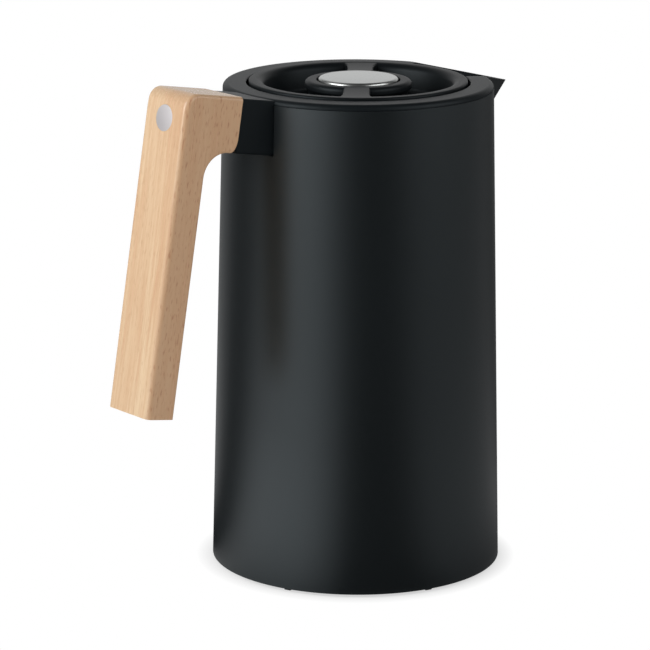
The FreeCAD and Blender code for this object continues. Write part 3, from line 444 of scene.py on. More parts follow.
def beak_top(body, x):
    """Height of the plane of the beak's top, which slopes from the rim at its root down to the tip."""
    root = beak_root(body)
    return body.rim - body.beak_drop * (x - root) / (body.beak_reach - root)


def beak_slopes(body):
    """The keel's run per unit of height, and the spread of the sides per unit of distance from the keel."""
    shell = shell_radius(body, body.rim - body.keel_drop)
    run = (body.beak_reach - shell) / (body.keel_drop - body.beak_drop)
    across = body.beak_corner * math.sin(body.beak_angle)
    return run, across / (body.beak_reach - beak_root(body) + run * body.beak_drop)


# Materials


class Nodes:
    """Short helpers for a node tree. Each adds a node and gives its output."""

    def __init__(self, tree):
        self.nodes, self.links = tree.nodes, tree.links

    def feed(self, socket, value):
        """Links a socket to an output, or sets it to a constant."""
        if isinstance(value, bpy.types.NodeSocket):
            self.links.new(value, socket)
        else:
            socket.default_value = value

    def node(self, kind, inputs, output=0, **settings):
        """A node of a kind, with its settings, and its inputs by name or number."""
        made = self.nodes.new("ShaderNode" + kind)
        for setting, value in settings.items():
            setattr(made, setting, value)
        for socket, value in inputs.items():
            self.feed(made.inputs[socket], value)
        return made.outputs[output]

    def maths(self, operation, *values):
        """Works out one or two values, such as by MULTIPLY or MAXIMUM."""
        return self.node("Math", dict(enumerate(values)), operation=operation)

    def largest(self, first, *values):
        """The largest of several values."""
        for value in values:
            first = self.maths("MAXIMUM", first, value)
        return first

    def vector(self, operation, *values, output="Vector"):
        """Works out one or two vectors. Where the result is a number, it is the output Value."""
        return self.node("VectorMath", dict(enumerate(values)), output, operation=operation)

    def span(self, value, low, high, to_low=0.0, to_high=1.0):
        """Carries a value from one range to another, held at the ends."""
        ends = {"From Min": low, "From Max": high, "To Min": to_low, "To Max": to_high}
        return self.node("MapRange", {"Value": value, **ends}, "Result")

    def mix(self, factor, first, second):
        """A mix of two numbers by a factor."""
        return self.node("Mix", {0: factor, 2: first, 3: second})

    def background(self, direction, sides, dim, share=None):
        """Which rays show the background, and how bright it is for them.

        The rays are the camera's own and those that metal and glass send on. The camera sees white all
        round. Reflections see a dim studio with a few bright sides, and a share of it where one is given.
        Each side is a direction, the two cosines from it between which it grows bright, and its level.
        """
        rays = self.nodes.new("ShaderNodeLightPath").outputs
        glossy = rays["Is Glossy Ray"]
        shown = self.largest(rays["Is Camera Ray"], glossy, rays["Is Transmission Ray"])
        levels = []
        for facing, start, full, bright in sides:
            cosine = self.vector("DOT_PRODUCT", direction, facing, output="Value")
            levels.append(self.span(cosine, start, full, dim, bright))
        brightest = self.largest(*levels)
        if share:
            brightest = self.maths("MULTIPLY", brightest, share)
        return shown, self.mix(glossy, 1.0, brightest)


class Finish(Nodes):
    """A material being built on one Principled shader."""

    def __init__(self, name, base, roughness, **sockets):
        self.material = bpy.data.materials.new(name)
        self.material.use_nodes = True
        super().__init__(self.material.node_tree)
        self.shader = self.nodes["Principled BSDF"]
        self.shader.inputs["Base Color"].default_value = (*base, 1)
        self.shader.inputs["Roughness"].default_value = roughness
        for socket, value in sockets.items():
            self.shader.inputs[socket.replace("_", " ")].default_value = value
        self.place = self.node("TexCoord", {}, "Object")
        self.relief = None

    def noise(self, scale, detail=3.0, rough=0.55, distortion=0.0, rotation=(0, 0, 0)):
        """Fractal noise between 0 and 1 on Object coordinates, turned and then scaled along each axis."""
        turn = self.node("Mapping", {"Vector": self.place, "Rotation": rotation})
        inputs = {"Vector": self.vector("MULTIPLY", turn, scale), "Scale": 1.0}
        inputs |= {"Detail": detail, "Roughness": rough, "Distortion": distortion}
        return self.node("TexNoise", inputs, "Fac")

    def blend(self, factor, first, second):
        """A mix of two colours, each three numbers or a socket, by a factor."""
        colours = [c if isinstance(c, bpy.types.NodeSocket) else (*c, 1) for c in (first, second)]
        return self.node("Mix", {0: factor, 6: colours[0], 7: colours[1]}, 2, data_type="RGBA")

    def paint(self, socket):
        """Sets the colour."""
        self.links.new(socket, self.shader.inputs["Base Color"])

    def vary(self, field, tint, darker, lighter):
        """Sets the colour to a tint that a field takes from a darker to a lighter share of it."""
        self.paint(self.blend(field, shade(tint, darker), shade(tint, lighter)))

    def gloss(self, field, low, high):
        """Sets the roughness, from low to high over the middle of a field."""
        self.links.new(self.span(field, 0.3, 0.7, low, high), self.shader.inputs["Roughness"])

    def bump(self, field, depth, strength):
        """Adds relief of a depth in metres over what is there already."""
        inputs = {"Height": field, "Distance": depth, "Strength": strength}
        if self.relief:
            inputs["Normal"] = self.relief
        self.relief = self.node("Bump", inputs)
        self.links.new(self.relief, self.shader.inputs["Normal"])


def shade(tint, share):
    """A colour made darker or lighter by a share."""
    return tuple(min(1.0, c * share) for c in tint)


# Plastics: colour, roughness, size and depth of the grain in millimetres, and specular level
PLASTICS = {
    "shell_plastic": ("shell", 0.37, 0.42, 0.035, 0.85),
    "collar_plastic": ("collar", 0.46, 0.3, 0.012, 0.22),
    "lid_plastic": ("lid", 0.46, 0.3, 0.012, 0.2),
    "plunger_plastic": ("plunger", 0.42, 0.35, 0.012, 0.4),
    "core_plastic": ("plunger", 0.45, 0.4, 0.015, 0.4),
    "base_plastic": ("base", 0.55, 0.6, 0.04, 0.4),
}
# Metals: colour, share of it, roughness, tool marks to a metre, depth in millimetres, and darkest tone
METALS = {
    "plug_metal": ("plug", 1.0, 0.5, (3600, 3600, 1800), 0.002, 0.96),
    "button_steel": ("steel", 1.0, 0.3, (5200, 1300, 5200), 0.001, 0.98),
    "spring_steel": ("steel", 0.85, 0.28, (500, 500, 900), 0.01, 0.96),
    "screw_steel": ("steel", 0.9, 0.32, (700, 700, 700), 0.01, 0.96),
    "insert_brass": ("brass", 1.0, 0.3, (900, 900, 900), 0.01, 0.96),
    "flask_steel": ("flask", 1.0, 0.3, (40, 40, 1400), 0.008, 0.96),
    "jacket_steel": ("flask", 0.92, 0.36, (40, 40, 1400), 0.008, 0.96),
}
# Rubbers and silicones: colour, roughness, and how much light goes into them
RUBBERS = {
    "seal_silicone": ("silicone", 0.42, 0.25),
    "valve_silicone": ("silicone", 0.42, 0.25),
    "gasket_silicone": ("silicone", 0.45, 0.2),
    "foot_rubber": ("rubber", 0.68, 0.0),
    "cushion_rubber": ("cushion", 0.8, 0.0),
}


def plastic(name, finish):
    """Moulded plastic: an even tint with faint cloudy variation, and a spark-eroded grain of a given size."""
    key, roughness, grain, depth, specular = PLASTICS[name]
    tint, sheen = getattr(finish, key), (*finish.sheen, 1)
    made = Finish(name, tint, roughness, Specular_IOR_Level=specular, Specular_Tint=sheen)
    fine = made.noise((1 / (grain * MM),) * 3, 2.0, 0.6)
    cloud = made.noise((14.0,) * 3, 2.0, 0.5)
    made.vary(made.span(cloud, 0.35, 0.65), tint, 0.93, 1.07)
    made.gloss(fine, roughness - 0.05, roughness + 0.05)
    made.bump(fine, depth * MM, 0.6)
    return made.material


def metal(name, finish):
    """Metal with fine tool marks: noise stretched along one axis sets roughness, tone and a slight relief."""
    key, share, roughness, stretch, depth, tone = METALS[name]
    tint = shade(getattr(finish, key), share)
    made = Finish(name, tint, roughness, Metallic=1.0)
    marks = made.noise(stretch, 3.0, 0.6)
    made.vary(made.span(marks, 0.3, 0.7), tint, tone, 1.02)
    made.gloss(marks, roughness - 0.04, roughness + 0.04)
    made.bump(marks, depth * MM, 0.3)
    return made.material


def rubbery(name, finish):
    """Rubber or silicone: soft bloom over a fine matt surface, with light in the milky ones."""
    key, roughness, glow = RUBBERS[name]
    tint, soft = getattr(finish, key), {"Subsurface_Weight": glow, "Subsurface_Scale": 2 * MM}
    made = Finish(name, tint, roughness, Specular_IOR_Level=0.3, **soft)
    bloom = made.noise((90.0,) * 3)
    fine = made.noise((2600.0,) * 3, 2.0)
    made.vary(made.span(bloom, 0.35, 0.65), tint, 0.9, 1.06)
    made.gloss(bloom, roughness - 0.04, roughness + 0.06)
    made.bump(fine, 0.02 * MM, 0.4)
    return made.material


def beech(finish, handle):
    """Beech: slow bands and fine streaks along the grip, with the short dark flecks of its rays.

    The pattern's own axes lie along the grip, so the flecks are short strokes down it: thresholded
    noise, stretched about five to one. They are strongest on the two side faces, and the end grain
    shows the same field across it. The two side faces are also blended toward the deep wood: painted
    shade, darker than the outer face.
    """
    made = Finish("beech", finish.wood_pale, 0.34, Specular_IOR_Level=0.5)
    lean = (0, -handle.tilt, 0)
    bands = made.noise((38.0, 38.0, 5.0), 3.0, 0.5, 0.6, rotation=lean)
    streaks = made.noise((760.0, 760.0, 26.0), 3.0, 0.5, rotation=lean)
    flecks = made.noise((1250.0, 1250.0, 260.0), 1.0, 0.4, rotation=lean)
    ground = made.blend(made.span(bands, 0.35, 0.68, 0.0, 0.5), finish.wood_pale, finish.wood_deep_and_side_shade)
    ground = made.blend(made.span(streaks, 0.4, 0.7, 0.0, 0.65), ground, finish.wood_deep_and_side_shade)
    normal = made.nodes["Texture Coordinate"].outputs["Normal"]
    across = made.maths("ABSOLUTE", made.node("SeparateXYZ", {0: normal}, "Y"))
    side = made.span(across, 0.3, 0.9)
    # Painted shade: both side faces are blended toward the deep wood, darker than the outer face
    ground = made.blend(made.maths("MULTIPLY", side, 0.6), ground, finish.wood_deep_and_side_shade)
    short = made.maths("MULTIPLY", made.span(flecks, 0.58, 0.74), made.span(side, 0.0, 1.0, 0.22, 0.6))
    made.paint(made.blend(short, ground, finish.wood_fleck))
    made.gloss(streaks, 0.25, 0.28)
    made.bump(streaks, 0.002 * MM, 0.35)
    made.bump(short, -0.003 * MM, 0.5)
    return made.material


def paper(finish, sides, dim):
    """White paper floor: near the jug it keeps the shadow, and further out it is plain white.

    Rays that show the background take a share of white that grows with the distance from the axis. In
    reflections the floor carries painted shade: darker close to the foot, and a little dimmer further out.
    """
    made = Finish("floor_paper", finish.paper, 0.9, Specular_IOR_Level=0.1)
    made.paint(made.blend(made.noise((3.0,) * 3), finish.paper, finish.paper_light))
    far = made.vector("LENGTH", made.place, output="Value")
    away = made.vector("NORMALIZE", made.place)
    # Painted shade for reflections: darker near the foot, a little dimmer further out
    reflected_shade = made.maths("MULTIPLY", made.span(far, *FOOT_SHADE_SPAN), made.span(far, *FAR_SHADE_SPAN))
    rays, white = made.background(away, sides, dim, reflected_shade)
    share = made.maths("MULTIPLY", made.span(far, *SHADOW_SPAN), rays)
    glow = made.node("Emission", {"Strength": white})
    mixed = made.node("MixShader", {0: share, 1: made.shader.outputs[0], 2: glow})
    made.links.new(mixed, made.nodes["Material Output"].inputs["Surface"])
    return made.material


# Pieces


class JUG_OT_shell(bpy.types.Operator):
    """Tapered shell with its notches for the bracket and the beak"""

    bl_idname = "jug.shell"
    bl_label = "Shell"

    def execute(self, context):
        body, handle, finish = context.scene.jug_body, context.scene.jug_handle, context.scene.jug_finish
        black = plastic("shell_plastic", finish)
        made = piece("shell", self.surface(body, handle), black, "jug", "outer_shell")
        wall = made.modifiers.new("wall", "SOLIDIFY")
        wall.thickness = body.shell_wall
        wall.offset = -1
        eased(made, body.slip_gap, limit=50.0, segments=2)
        return {"FINISHED"}

    @staticmethod
    def surface(body, handle):
        """Outer face as a grid of angle and height.

        The radius falls straight from the foot to the seam. Each column's top is the seam, or the
        beak's V where that is lower: tip height - (keel reach - x - |y| / spread) / run. Rows below
        the bracket's underside go all round, and those above it leave the bracket's width open.
        """
        half = handle.width / 2 - handle.inset + body.notch_gap
        edge = math.asin(half / body.shell_top)
        marks = [math.pi - edge, math.pi + edge]
        angles = np.unique(np.append(np.linspace(0, FULL_TURN, TURN_STEPS, endpoint=False), marks))
        run, spread = beak_slopes(body)
        reach = body.beak_reach + body.slip_gap * math.hypot(1, 1 / spread)
        top = np.full_like(angles, body.seam)
        for _ in range(VEE_PASSES):
            radius = shell_radius(body, top)
            x, y = radius * np.cos(angles), np.abs(radius * np.sin(angles))
            vee = body.rim - body.beak_drop - (reach - x - y / spread) / run
            top = np.where(x > 0, np.minimum(body.seam, np.maximum(vee, body.foot)), body.seam)
        sin, cos = math.sin(handle.tilt), math.cos(handle.tilt)
        down = handle.bracket_low + body.notch_drop
        x = body.shell_top * np.where(np.cos(angles) < NOTCH_SIDE, np.cos(angles), -1)
        out = (-handle.start - down * sin - x) / cos
        under = body.rim + handle.rise + out * sin - down * cos
        split = np.minimum(under, top - body.shell_wall / 4)
        lower, upper = np.linspace(0, 1, SHELL_ROWS)[:, None], np.linspace(0, 1, NOTCH_ROWS)[1:, None]
        heights = np.concatenate([body.foot + lower * (split - body.foot), split + upper * (top - split)])
        columns = len(angles)
        faces = grid_faces(len(heights), columns, False, True)
        middle = (angles + np.append(angles[1:], FULL_TURN)) / 2
        blocked = np.abs(middle - math.pi) < edge
        row, column = faces[:, 0] // columns, faces[:, 0] % columns
        faces = faces[~(blocked[column] & (row >= SHELL_ROWS - 1))]
        used, numbers = np.unique(faces, return_inverse=True)
        points = ring_points(shell_radius(body, heights), angles, heights)
        return points[used], numbers.reshape(-1, 4).tolist()


class JUG_OT_collar(bpy.types.Operator):
    """Collar ring, pouring beak and the bracket of the handle"""

    bl_idname = "jug.collar"
    bl_label = "Collar"

    def execute(self, context):
        body, handle, finish = context.scene.jug_body, context.scene.jug_handle, context.scene.jug_finish
        black = plastic("collar_plastic", finish)
        ring = piece("collar_ring", self.ring(body), black, "jug", "collar")
        eased(ring, 2 * body.slip_gap)
        piece("collar_sill", self.sill(body), black, "jug")
        beak = piece("pouring_beak", self.beak(body), black, "jug", sharp=BEAK_ANGLE)
        eased(beak, 2 * body.slip_gap, limit=BEAK_ANGLE)
        block = piece("handle_bracket", self.bracket(body, handle), black, "jug")
        eased(block, handle.bracket_round)
        return {"FINISHED"}

    @staticmethod
    def lower_corners(body):
        """Outline corners from the funnel's foot down to the skirt, inside first."""
        ledge, skirt = body.rim - body.ledge_drop, body.shell_top - body.shell_wall - body.slip_gap
        foot = ledge - body.ledge_thickness
        return [
            (body.throat + body.ledge_width, ledge),
            (body.throat, ledge),
            (body.throat, foot),
            (body.throat + body.throat_width, foot),
            (skirt, body.rim - body.skirt_depth),
        ]

    def ring(self, body):
        """Bore, funnel, ledge, skirt and a rounded rim over the seam, turned as far as the slot.

        Its ends are cut down to the plane of the beak's top.
        """
        lower = self.lower_corners(body)
        outline = rounded([
            (body.bore, body.rim, body.bore_round),
            (body.bore, body.rim - body.funnel_drop),
            *lower,
            (lower[-1][0], body.seam),
            (body.shell_top - body.seam_chamfer, body.seam),
            (body.shell_top, body.seam + body.seam_chamfer),
            (body.shell_top, body.rim, body.rim_round),
        ])
        points, faces = turned(outline, body.slot_angle, FULL_TURN - 2 * body.slot_angle)
        points[:, 2] = np.minimum(points[:, 2], beak_top(body, points[:, 0]) - body.slip_gap / 3)
        return points, faces

    def sill(self, body):
        """What is left of the ring under the pouring channel, turned through the slot."""
        lower = self.lower_corners(body)
        foot, skirt = lower[0][0], lower[-1][0]
        floor = body.rim - body.beak_floor_drop - body.slip_gap
        share = (floor - body.rim + body.ledge_drop) / (body.ledge_drop - body.funnel_drop)
        outline = rounded([(foot + share * (body.bore - foot), floor), *lower, (skirt, floor)])
        return turned(outline, -body.slot_angle, 2 * body.slot_angle)

    @staticmethod
    def beak(body):
        """Trough with a sharp keel, worked out as the corners where its planes meet.

        At height z the keel lies at reach - run (tip - z), and the sides stand off by spread times the
        distance behind the keel. The inner sides are the same planes a wall's thickness in, and the top
        slopes straight from the rim corners to the tip.
        """
        run, spread = beak_slopes(body)
        reach, root = body.beak_reach, beak_root(body)
        crest, tip, floor = body.rim, body.rim - body.beak_drop, body.rim - body.beak_floor_drop
        inset = body.beak_wall * math.hypot(1, 1 / spread)
        inner = reach - inset / (1 + run * body.beak_drop / (reach - root))

        def side(height, back):
            return (reach - back + run * (height - tip) - root) * spread

        outer_half, inner_half, floor_half = side(crest, 0), side(crest, inset), side(floor, inset)
        points = np.array([
            (reach, 0, tip),
            (inner, 0, beak_top(body, inner)),
            (root, outer_half, crest),
            (root, -outer_half, crest),
            (root, inner_half, crest),
            (root, -inner_half, crest),
            (reach - inset + run * (floor - tip), 0, floor),
            (root, floor_half, floor),
            (root, -floor_half, floor),
            (root, 0, tip - (reach - root) / run),
        ])
        faces = [
            [0, 2, 9], [0, 9, 3], [0, 1, 4, 2], [0, 3, 5, 1], [1, 6, 7, 4], [1, 5, 8, 6], [6, 8, 7],
            [2, 4, 7, 8, 5, 3, 9],
        ]
        return points, faces

    @staticmethod
    def bracket(body, handle):
        """A rounded rectangle across and down, carried along the arm from the wood into the collar."""
        half, low = handle.width / 2 - handle.inset, handle.bracket_low
        section = rounded([
            (half, handle.inset, handle.bracket_round),
            (half, low, handle.bracket_under),
            (-half, low, handle.bracket_under),
            (-half, handle.inset, handle.bracket_round),
        ])
        stations = -handle.bracket * np.linspace(0, 1, BRACKET_STATIONS)
        sections = np.stack([np.insert(section, 0, out, axis=1) for out in stations])
        return carried(in_frame(body, handle, sections))


class JUG_OT_handle(bpy.types.Operator):
    """Beech handle and its metal plug"""

    bl_idname = "jug.handle"
    bl_label = "Handle"

    def execute(self, context):
        body, handle, finish = context.scene.jug_body, context.scene.jug_handle, context.scene.jug_finish
        wood, satin = beech(finish, handle), metal("plug_metal", finish)
        grip = piece("grip", self.grip(body, handle), wood, "jug", "handle_grip")
        eased(grip, handle.end_round)
        piece("plug", self.plug(body, handle), satin, "jug", "handle_plug")
        return {"FINISHED"}

    @staticmethod
    def grip(body, handle):
        """The side outline of a leaning seven, carried across the width with rounded long edges.

        The outer face leans in a little at its top, and the arm's end curves in to its lower corner. A
        section at a depth t in from the side face is drawn in by r - sqrt(r r - (r - t)(r - t)) while
        t < r, with a larger r on the outer face than on the others and none at the two square ends.
        """
        radii = handle.edge_round, handle.outer_round
        bend = 1 - np.cos(np.linspace(0, math.pi / 2, ARC_STEPS))
        depth = np.unique(np.outer(radii, bend))
        across = np.concatenate([depth, handle.width - depth[::-1]]) - handle.width / 2
        depth = np.concatenate([depth, depth[::-1]])
        inset, drawn = [r - np.sqrt(r ** 2 - np.maximum(r - depth, 0) ** 2) for r in radii]
        inner = handle.reach - handle.depth
        sections = []
        for y, d, face in zip(across, inset, handle.reach - drawn):
            heel = handle.heel_run * (1 - d / handle.heel_rise)
            corner = handle.corner_round - handle.reach + face
            outline = rounded(
                [
                    (0, d),
                    (face - handle.lean_in, d, corner),
                    (face, handle.lean_drop, handle.lean_round),
                    (face, handle.drop),
                    (inner + d, handle.drop),
                    (inner + d, handle.arm - d, handle.crook_round + d),
                    (heel, handle.arm - d, handle.heel_round),
                    (0, handle.arm - handle.heel_rise, handle.heel_bow),
                ],
                2 * ARC_STEPS,
            )
            sections.append(np.insert(outline, 1, y, axis=1))
        return carried(in_frame(body, handle, np.array(sections)))

    @staticmethod
    def plug(body, handle):
        """A disc turned about the screw's axis, its rounded face a little proud of the wood."""
        radius, proud, deep = handle.plug, handle.plug_proud, -handle.plug_depth
        outline = rounded([(0, proud), (0, deep), (radius, deep), (radius, proud, handle.plug_round)])
        points, faces = turned(outline)
        local = np.stack([handle.reach + points[:, 2], points[:, 0], handle.plug_drop + points[:, 1]], -1)
        return in_frame(body, handle, local), faces


class JUG_OT_lid(bpy.types.Operator):
    """Lid cover with its bridge, the stopper under it and the seal"""

    bl_idname = "jug.lid"
    bl_label = "Lid"

    def execute(self, context):
        body, lid, finish = context.scene.jug_body, context.scene.jug_lid, context.scene.jug_finish
        black, milky = plastic("lid_plastic", finish), rubbery("seal_silicone", finish)
        piece("lid_top", turned(self.cover(body, lid)), black, "lid", "lid_cover")
        for number in range(2):
            bridge = self.bridge(body, lid, lid.bridge_angle + number * math.pi)
            piece(f"lid_bridge_{number + 1}", bridge, black, "lid")
        piece("stopper", turned(self.stopper(lid)), black, "lid", "lid_stopper")
        piece("seal_ring", turned(self.seal(lid)), milky, "seal", "lid_seal")
        return {"FINISHED"}

    @staticmethod
    def cover(body, lid):
        """Outline of the lid: guide, dish, rounded ring, hub and the button's well."""
        rim, edge = body.rim, lid.edge
        crest, dish = rim + lid.crown, rim - lid.dish_drop
        inner, under = lid.radius - lid.crest, crest - lid.crest_thickness
        hub_top, hub_floor = rim + lid.hub_crown, rim - lid.hub_floor_drop
        hub_under = hub_floor - lid.dish_floor
        shoulder = hub_top - lid.hub_band
        return rounded([
            (lid.stem_bore, rim - lid.guide_drop),
            (lid.guide, rim - lid.guide_drop, edge),
            (lid.guide, hub_under, edge),
            (lid.hub, hub_under, edge),
            (lid.hub, dish - lid.dish_floor, edge),
            (inner, dish - lid.dish_floor, edge),
            (inner, under, edge),
            (lid.radius - lid.wall, under, edge),
            (lid.radius - lid.wall, rim - lid.skirt, edge),
            (lid.radius, rim - lid.skirt, edge),
            (lid.radius, crest, lid.crest_outer),
            (inner, crest, lid.crest_inner),
            (inner - lid.dish_slope, dish, lid.dish_round),
            (lid.hub_neck, dish, lid.dish_round / 2),
            (lid.hub_neck, shoulder - lid.hub_flare, lid.hub_flare),
            (lid.hub, shoulder, lid.hub_flare / 2),
            (lid.hub, hub_top, lid.hub_round),
            (lid.well, hub_top, edge),
            (lid.well, hub_floor, edge),
            (lid.stem_bore, hub_floor, edge),
        ])

    @staticmethod
    def bridge(body, lid, direction):
        """One arm of the bridge: a rounded section carried out from the hub to the ring.

        At a share t of the way its half width is half + flare t^6, which is a fillet at the ring, and
        its top sags by dip times 4 t (1 - t).
        """
        start, low = (lid.well + lid.hub) / 2, body.rim - lid.dish_drop - lid.dish_floor / 2
        share = np.linspace(0, 1, BRIDGE_STATIONS)[:, None]
        out = start + share * (lid.radius - lid.crest / 2 - start)
        half, tall = lid.bridge_half, lid.dish_drop
        wide = half + lid.bridge_flare * share ** FILLET_POWER
        top = body.rim + lid.bridge_crown - lid.bridge_dip * 4 * share * (1 - share)
        corner = lid.bridge_round
        unit = rounded([(half, 0), (half, tall, corner), (-half, tall, corner), (-half, 0)])
        across = unit[:, 0] * wide / half
        height = low + unit[:, 1] * (top - low) / tall
        cos, sin = math.cos(direction), math.sin(direction)
        return carried(np.stack([out * cos - across * sin, out * sin + across * cos, height], -1))

    @staticmethod
    def stopper(lid):
        """Outline of the stopper: floor with the valve's seat, grooved wall and flange."""
        low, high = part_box("lid_stopper")
        flange, floor = high.z - lid.flange_thickness, low.z + lid.stopper_floor
        groove_top = flange - lid.groove_drop
        groove_foot, groove = groove_top - lid.groove_height, lid.stopper - lid.groove_depth
        inside, edge = lid.stopper - lid.stopper_wall, lid.edge
        return rounded([
            (lid.valve_seat, low.z, edge),
            (lid.stopper, low.z, 3 * edge),
            (lid.stopper, groove_foot, edge),
            (groove, groove_foot),
            (groove, groove_top),
            (lid.stopper, groove_top, edge),
            (lid.stopper, flange, edge),
            (lid.flange, flange, edge),
            (lid.flange, high.z, edge),
            (inside, high.z, edge),
            (inside, floor, 2 * edge),
            (lid.valve_seat, floor, edge),
        ])

    @staticmethod
    def seal(lid):
        """Outline of the seal: two soft lips on a band, each a quarter of its height from an end."""
        low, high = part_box("lid_seal")
        root, tall = high.x - lid.lip_reach, high.z - low.z
        return rounded([
            (lid.seal, low.z),
            (root, low.z, lid.lip_end),
            (high.x, low.z + tall / 4, lid.lip_round),
            (root, low.z + tall / 2, lid.lip_hollow),
            (high.x, low.z + tall * 3 / 4, lid.lip_round),
            (root, high.z, lid.lip_end),
            (lid.seal, high.z),
        ])


class JUG_OT_plunger(bpy.types.Operator):
    """Steel button, its stem and the pour valve"""

    bl_idname = "jug.plunger"
    bl_label = "Button and valve"

    def execute(self, context):
        lid, finish = context.scene.jug_lid, context.scene.jug_finish
        steel, dark = metal("button_steel", finish), plastic("plunger_plastic", finish)
        milky = rubbery("valve_silicone", finish)
        piece("push_button", turned(self.button(lid)), steel, "plunger", "button_cap")
        piece("stem", turned(self.stem(lid)), dark, "plunger", "plunger_stem")
        piece("pour_valve", turned(self.plate(lid)), dark, "plunger", "valve_plate")
        piece("valve_ring", turned(self.ring(lid)), milky, "plunger", "valve_gasket")
        return {"FINISHED"}

    @staticmethod
    def button(lid):
        """Outline of the button: flat top, rounded edge and a thin skirt."""
        low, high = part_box("button_cap")
        top, inside = high.z - lid.button_drop, lid.button - lid.button_sheet
        return rounded([
            (0, top),
            (0, top - lid.button_sheet),
            (inside, top - lid.button_sheet, lid.edge),
            (inside, low.z),
            (lid.button, low.z),
            (lid.button, top, lid.button_round),
        ])

    @staticmethod
    def stem(lid):
        """Outline of the plunger's plain stem."""
        low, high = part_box("plunger_stem")
        return rounded([(0, high.z), (0, low.z), (lid.stem, low.z, lid.edge), (lid.stem, high.z, lid.edge)])

    @staticmethod
    def plate(lid):
        """Outline of the valve plate with its raised middle."""
        low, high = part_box("valve_plate")
        face = high.z - lid.plate_boss_height
        return rounded([
            (0, high.z),
            (0, low.z),
            (high.x, low.z, lid.plate_round),
            (high.x, face, lid.edge),
            (lid.plate_boss, face),
            (lid.plate_boss, high.z, lid.edge),
        ])

    @staticmethod
    def ring(lid):
        """Outline of the gasket round the plate's raised middle."""
        low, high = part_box("valve_gasket")
        inner, outer, edge = lid.plate_boss + lid.edge / 2, high.x, lid.edge
        lower = [(inner, low.z), (outer, low.z, edge)]
        return rounded([*lower, (outer, high.z, 2 * edge), (inner, high.z, edge)])


class JUG_OT_spring(bpy.types.Operator):
    """Coil spring under the button, built at its rest length with a mesh of its own"""

    bl_idname = "jug.spring"
    bl_label = "Spring"

    def execute(self, context):
        lid, finish = context.scene.jug_lid, context.scene.jug_finish
        wire = metal("spring_steel", finish)
        made = piece("coil_spring", self.coil(lid), wire, "lid", "return_spring")
        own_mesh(made)
        return {"FINISHED"}

    @staticmethod
    def coil(lid):
        """A round wire carried along a helix: at turn a the middle is (R cos a, R sin a, low + rise a)."""
        low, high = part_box("return_spring")
        wire = lid.spring_wire
        radius = (high.x - low.x) / 2 - wire
        turns = np.linspace(0, lid.spring_turns * FULL_TURN, round(COIL_STEPS * lid.spring_turns) + 1)
        rise = (high.z - low.z - 2 * wire) / turns[-1]
        middle = ring_points(radius, turns, low.z + wire + rise * turns)
        outward = ring_points(1, turns, 0)
        along = ring_points(radius, turns + math.pi / 2, rise)
        upward = np.cross(outward, along / np.linalg.norm(along, axis=1, keepdims=True))
        around = np.linspace(0, FULL_TURN, WIRE_STEPS, endpoint=False)[None, :, None]
        ring = outward[:, None] * np.cos(around) + upward[:, None] * np.sin(around)
        return carried(middle[:, None] + wire * ring)


class JUG_OT_flask(bpy.types.Operator):
    """Steel inside of the flask"""

    bl_idname = "jug.flask"
    bl_label = "Flask"

    def execute(self, context):
        spun = metal("flask_steel", context.scene.jug_finish)
        inside = turned(self.wall(context.scene.jug_body))
        piece("flask_inside", inside, spun, "jug", "flask_inner_wall")
        return {"FINISHED"}

    @staticmethod
    def wall(body):
        """Outline of the flask's inner wall: up its outer side to the turned-out lip, and down inside."""
        low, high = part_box("flask_inner_wall")
        wall, bore, neck, lip = body.flask_wall, body.flask_bore, body.flask_neck, body.flask_lip
        shoulder, throat = high.z - body.flask_shoulder, high.z - body.flask_throat
        return rounded([
            (0, low.z + wall),
            (0, low.z),
            (bore + wall, low.z, body.flask_floor_round + wall),
            (bore + wall, shoulder, body.flask_shoulder_round + wall),
            (neck + wall, throat, body.flask_neck_round - wall),
            (neck + wall, high.z - wall),
            (neck + lip, high.z - wall),
            (neck + lip, high.z),
            (neck, high.z, wall / 2),
            (neck, throat, body.flask_neck_round),
            (bore, shoulder, body.flask_shoulder_round),
            (bore, low.z + wall, body.flask_floor_round),
        ])


class JUG_OT_hidden(bpy.types.Operator):
    """Finishes of the pieces inside and underneath, which keep their own shapes"""

    bl_idname = "jug.hidden"
    bl_label = "Inner pieces"

    def execute(self, context):
        finish = context.scene.jug_finish
        screws = ("base_screws", "handle_screw", "handle_washer", "lid_screws", "valve_screw")
        finishes = (
            (plastic("base_plastic", finish), ("base_plate",)),
            (rubbery("foot_rubber", finish), ("foot_ring",)),
            (rubbery("cushion_rubber", finish), ("base_cushion",)),
            (metal("screw_steel", finish), screws),
            (metal("insert_brass", finish), ("handle_insert",)),
            (metal("jacket_steel", finish), ("flask_outer_wall", "flask_base_cup")),
            (rubbery("gasket_silicone", finish), ("neck_gasket", "stem_oring")),
            (plastic("core_plastic", finish), ("button_core",)),
        )
        for material, nodes in finishes:
            for node in nodes:
                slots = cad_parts[node].data.materials
                slots.clear()
                slots.append(material)
        return {"FINISHED"}


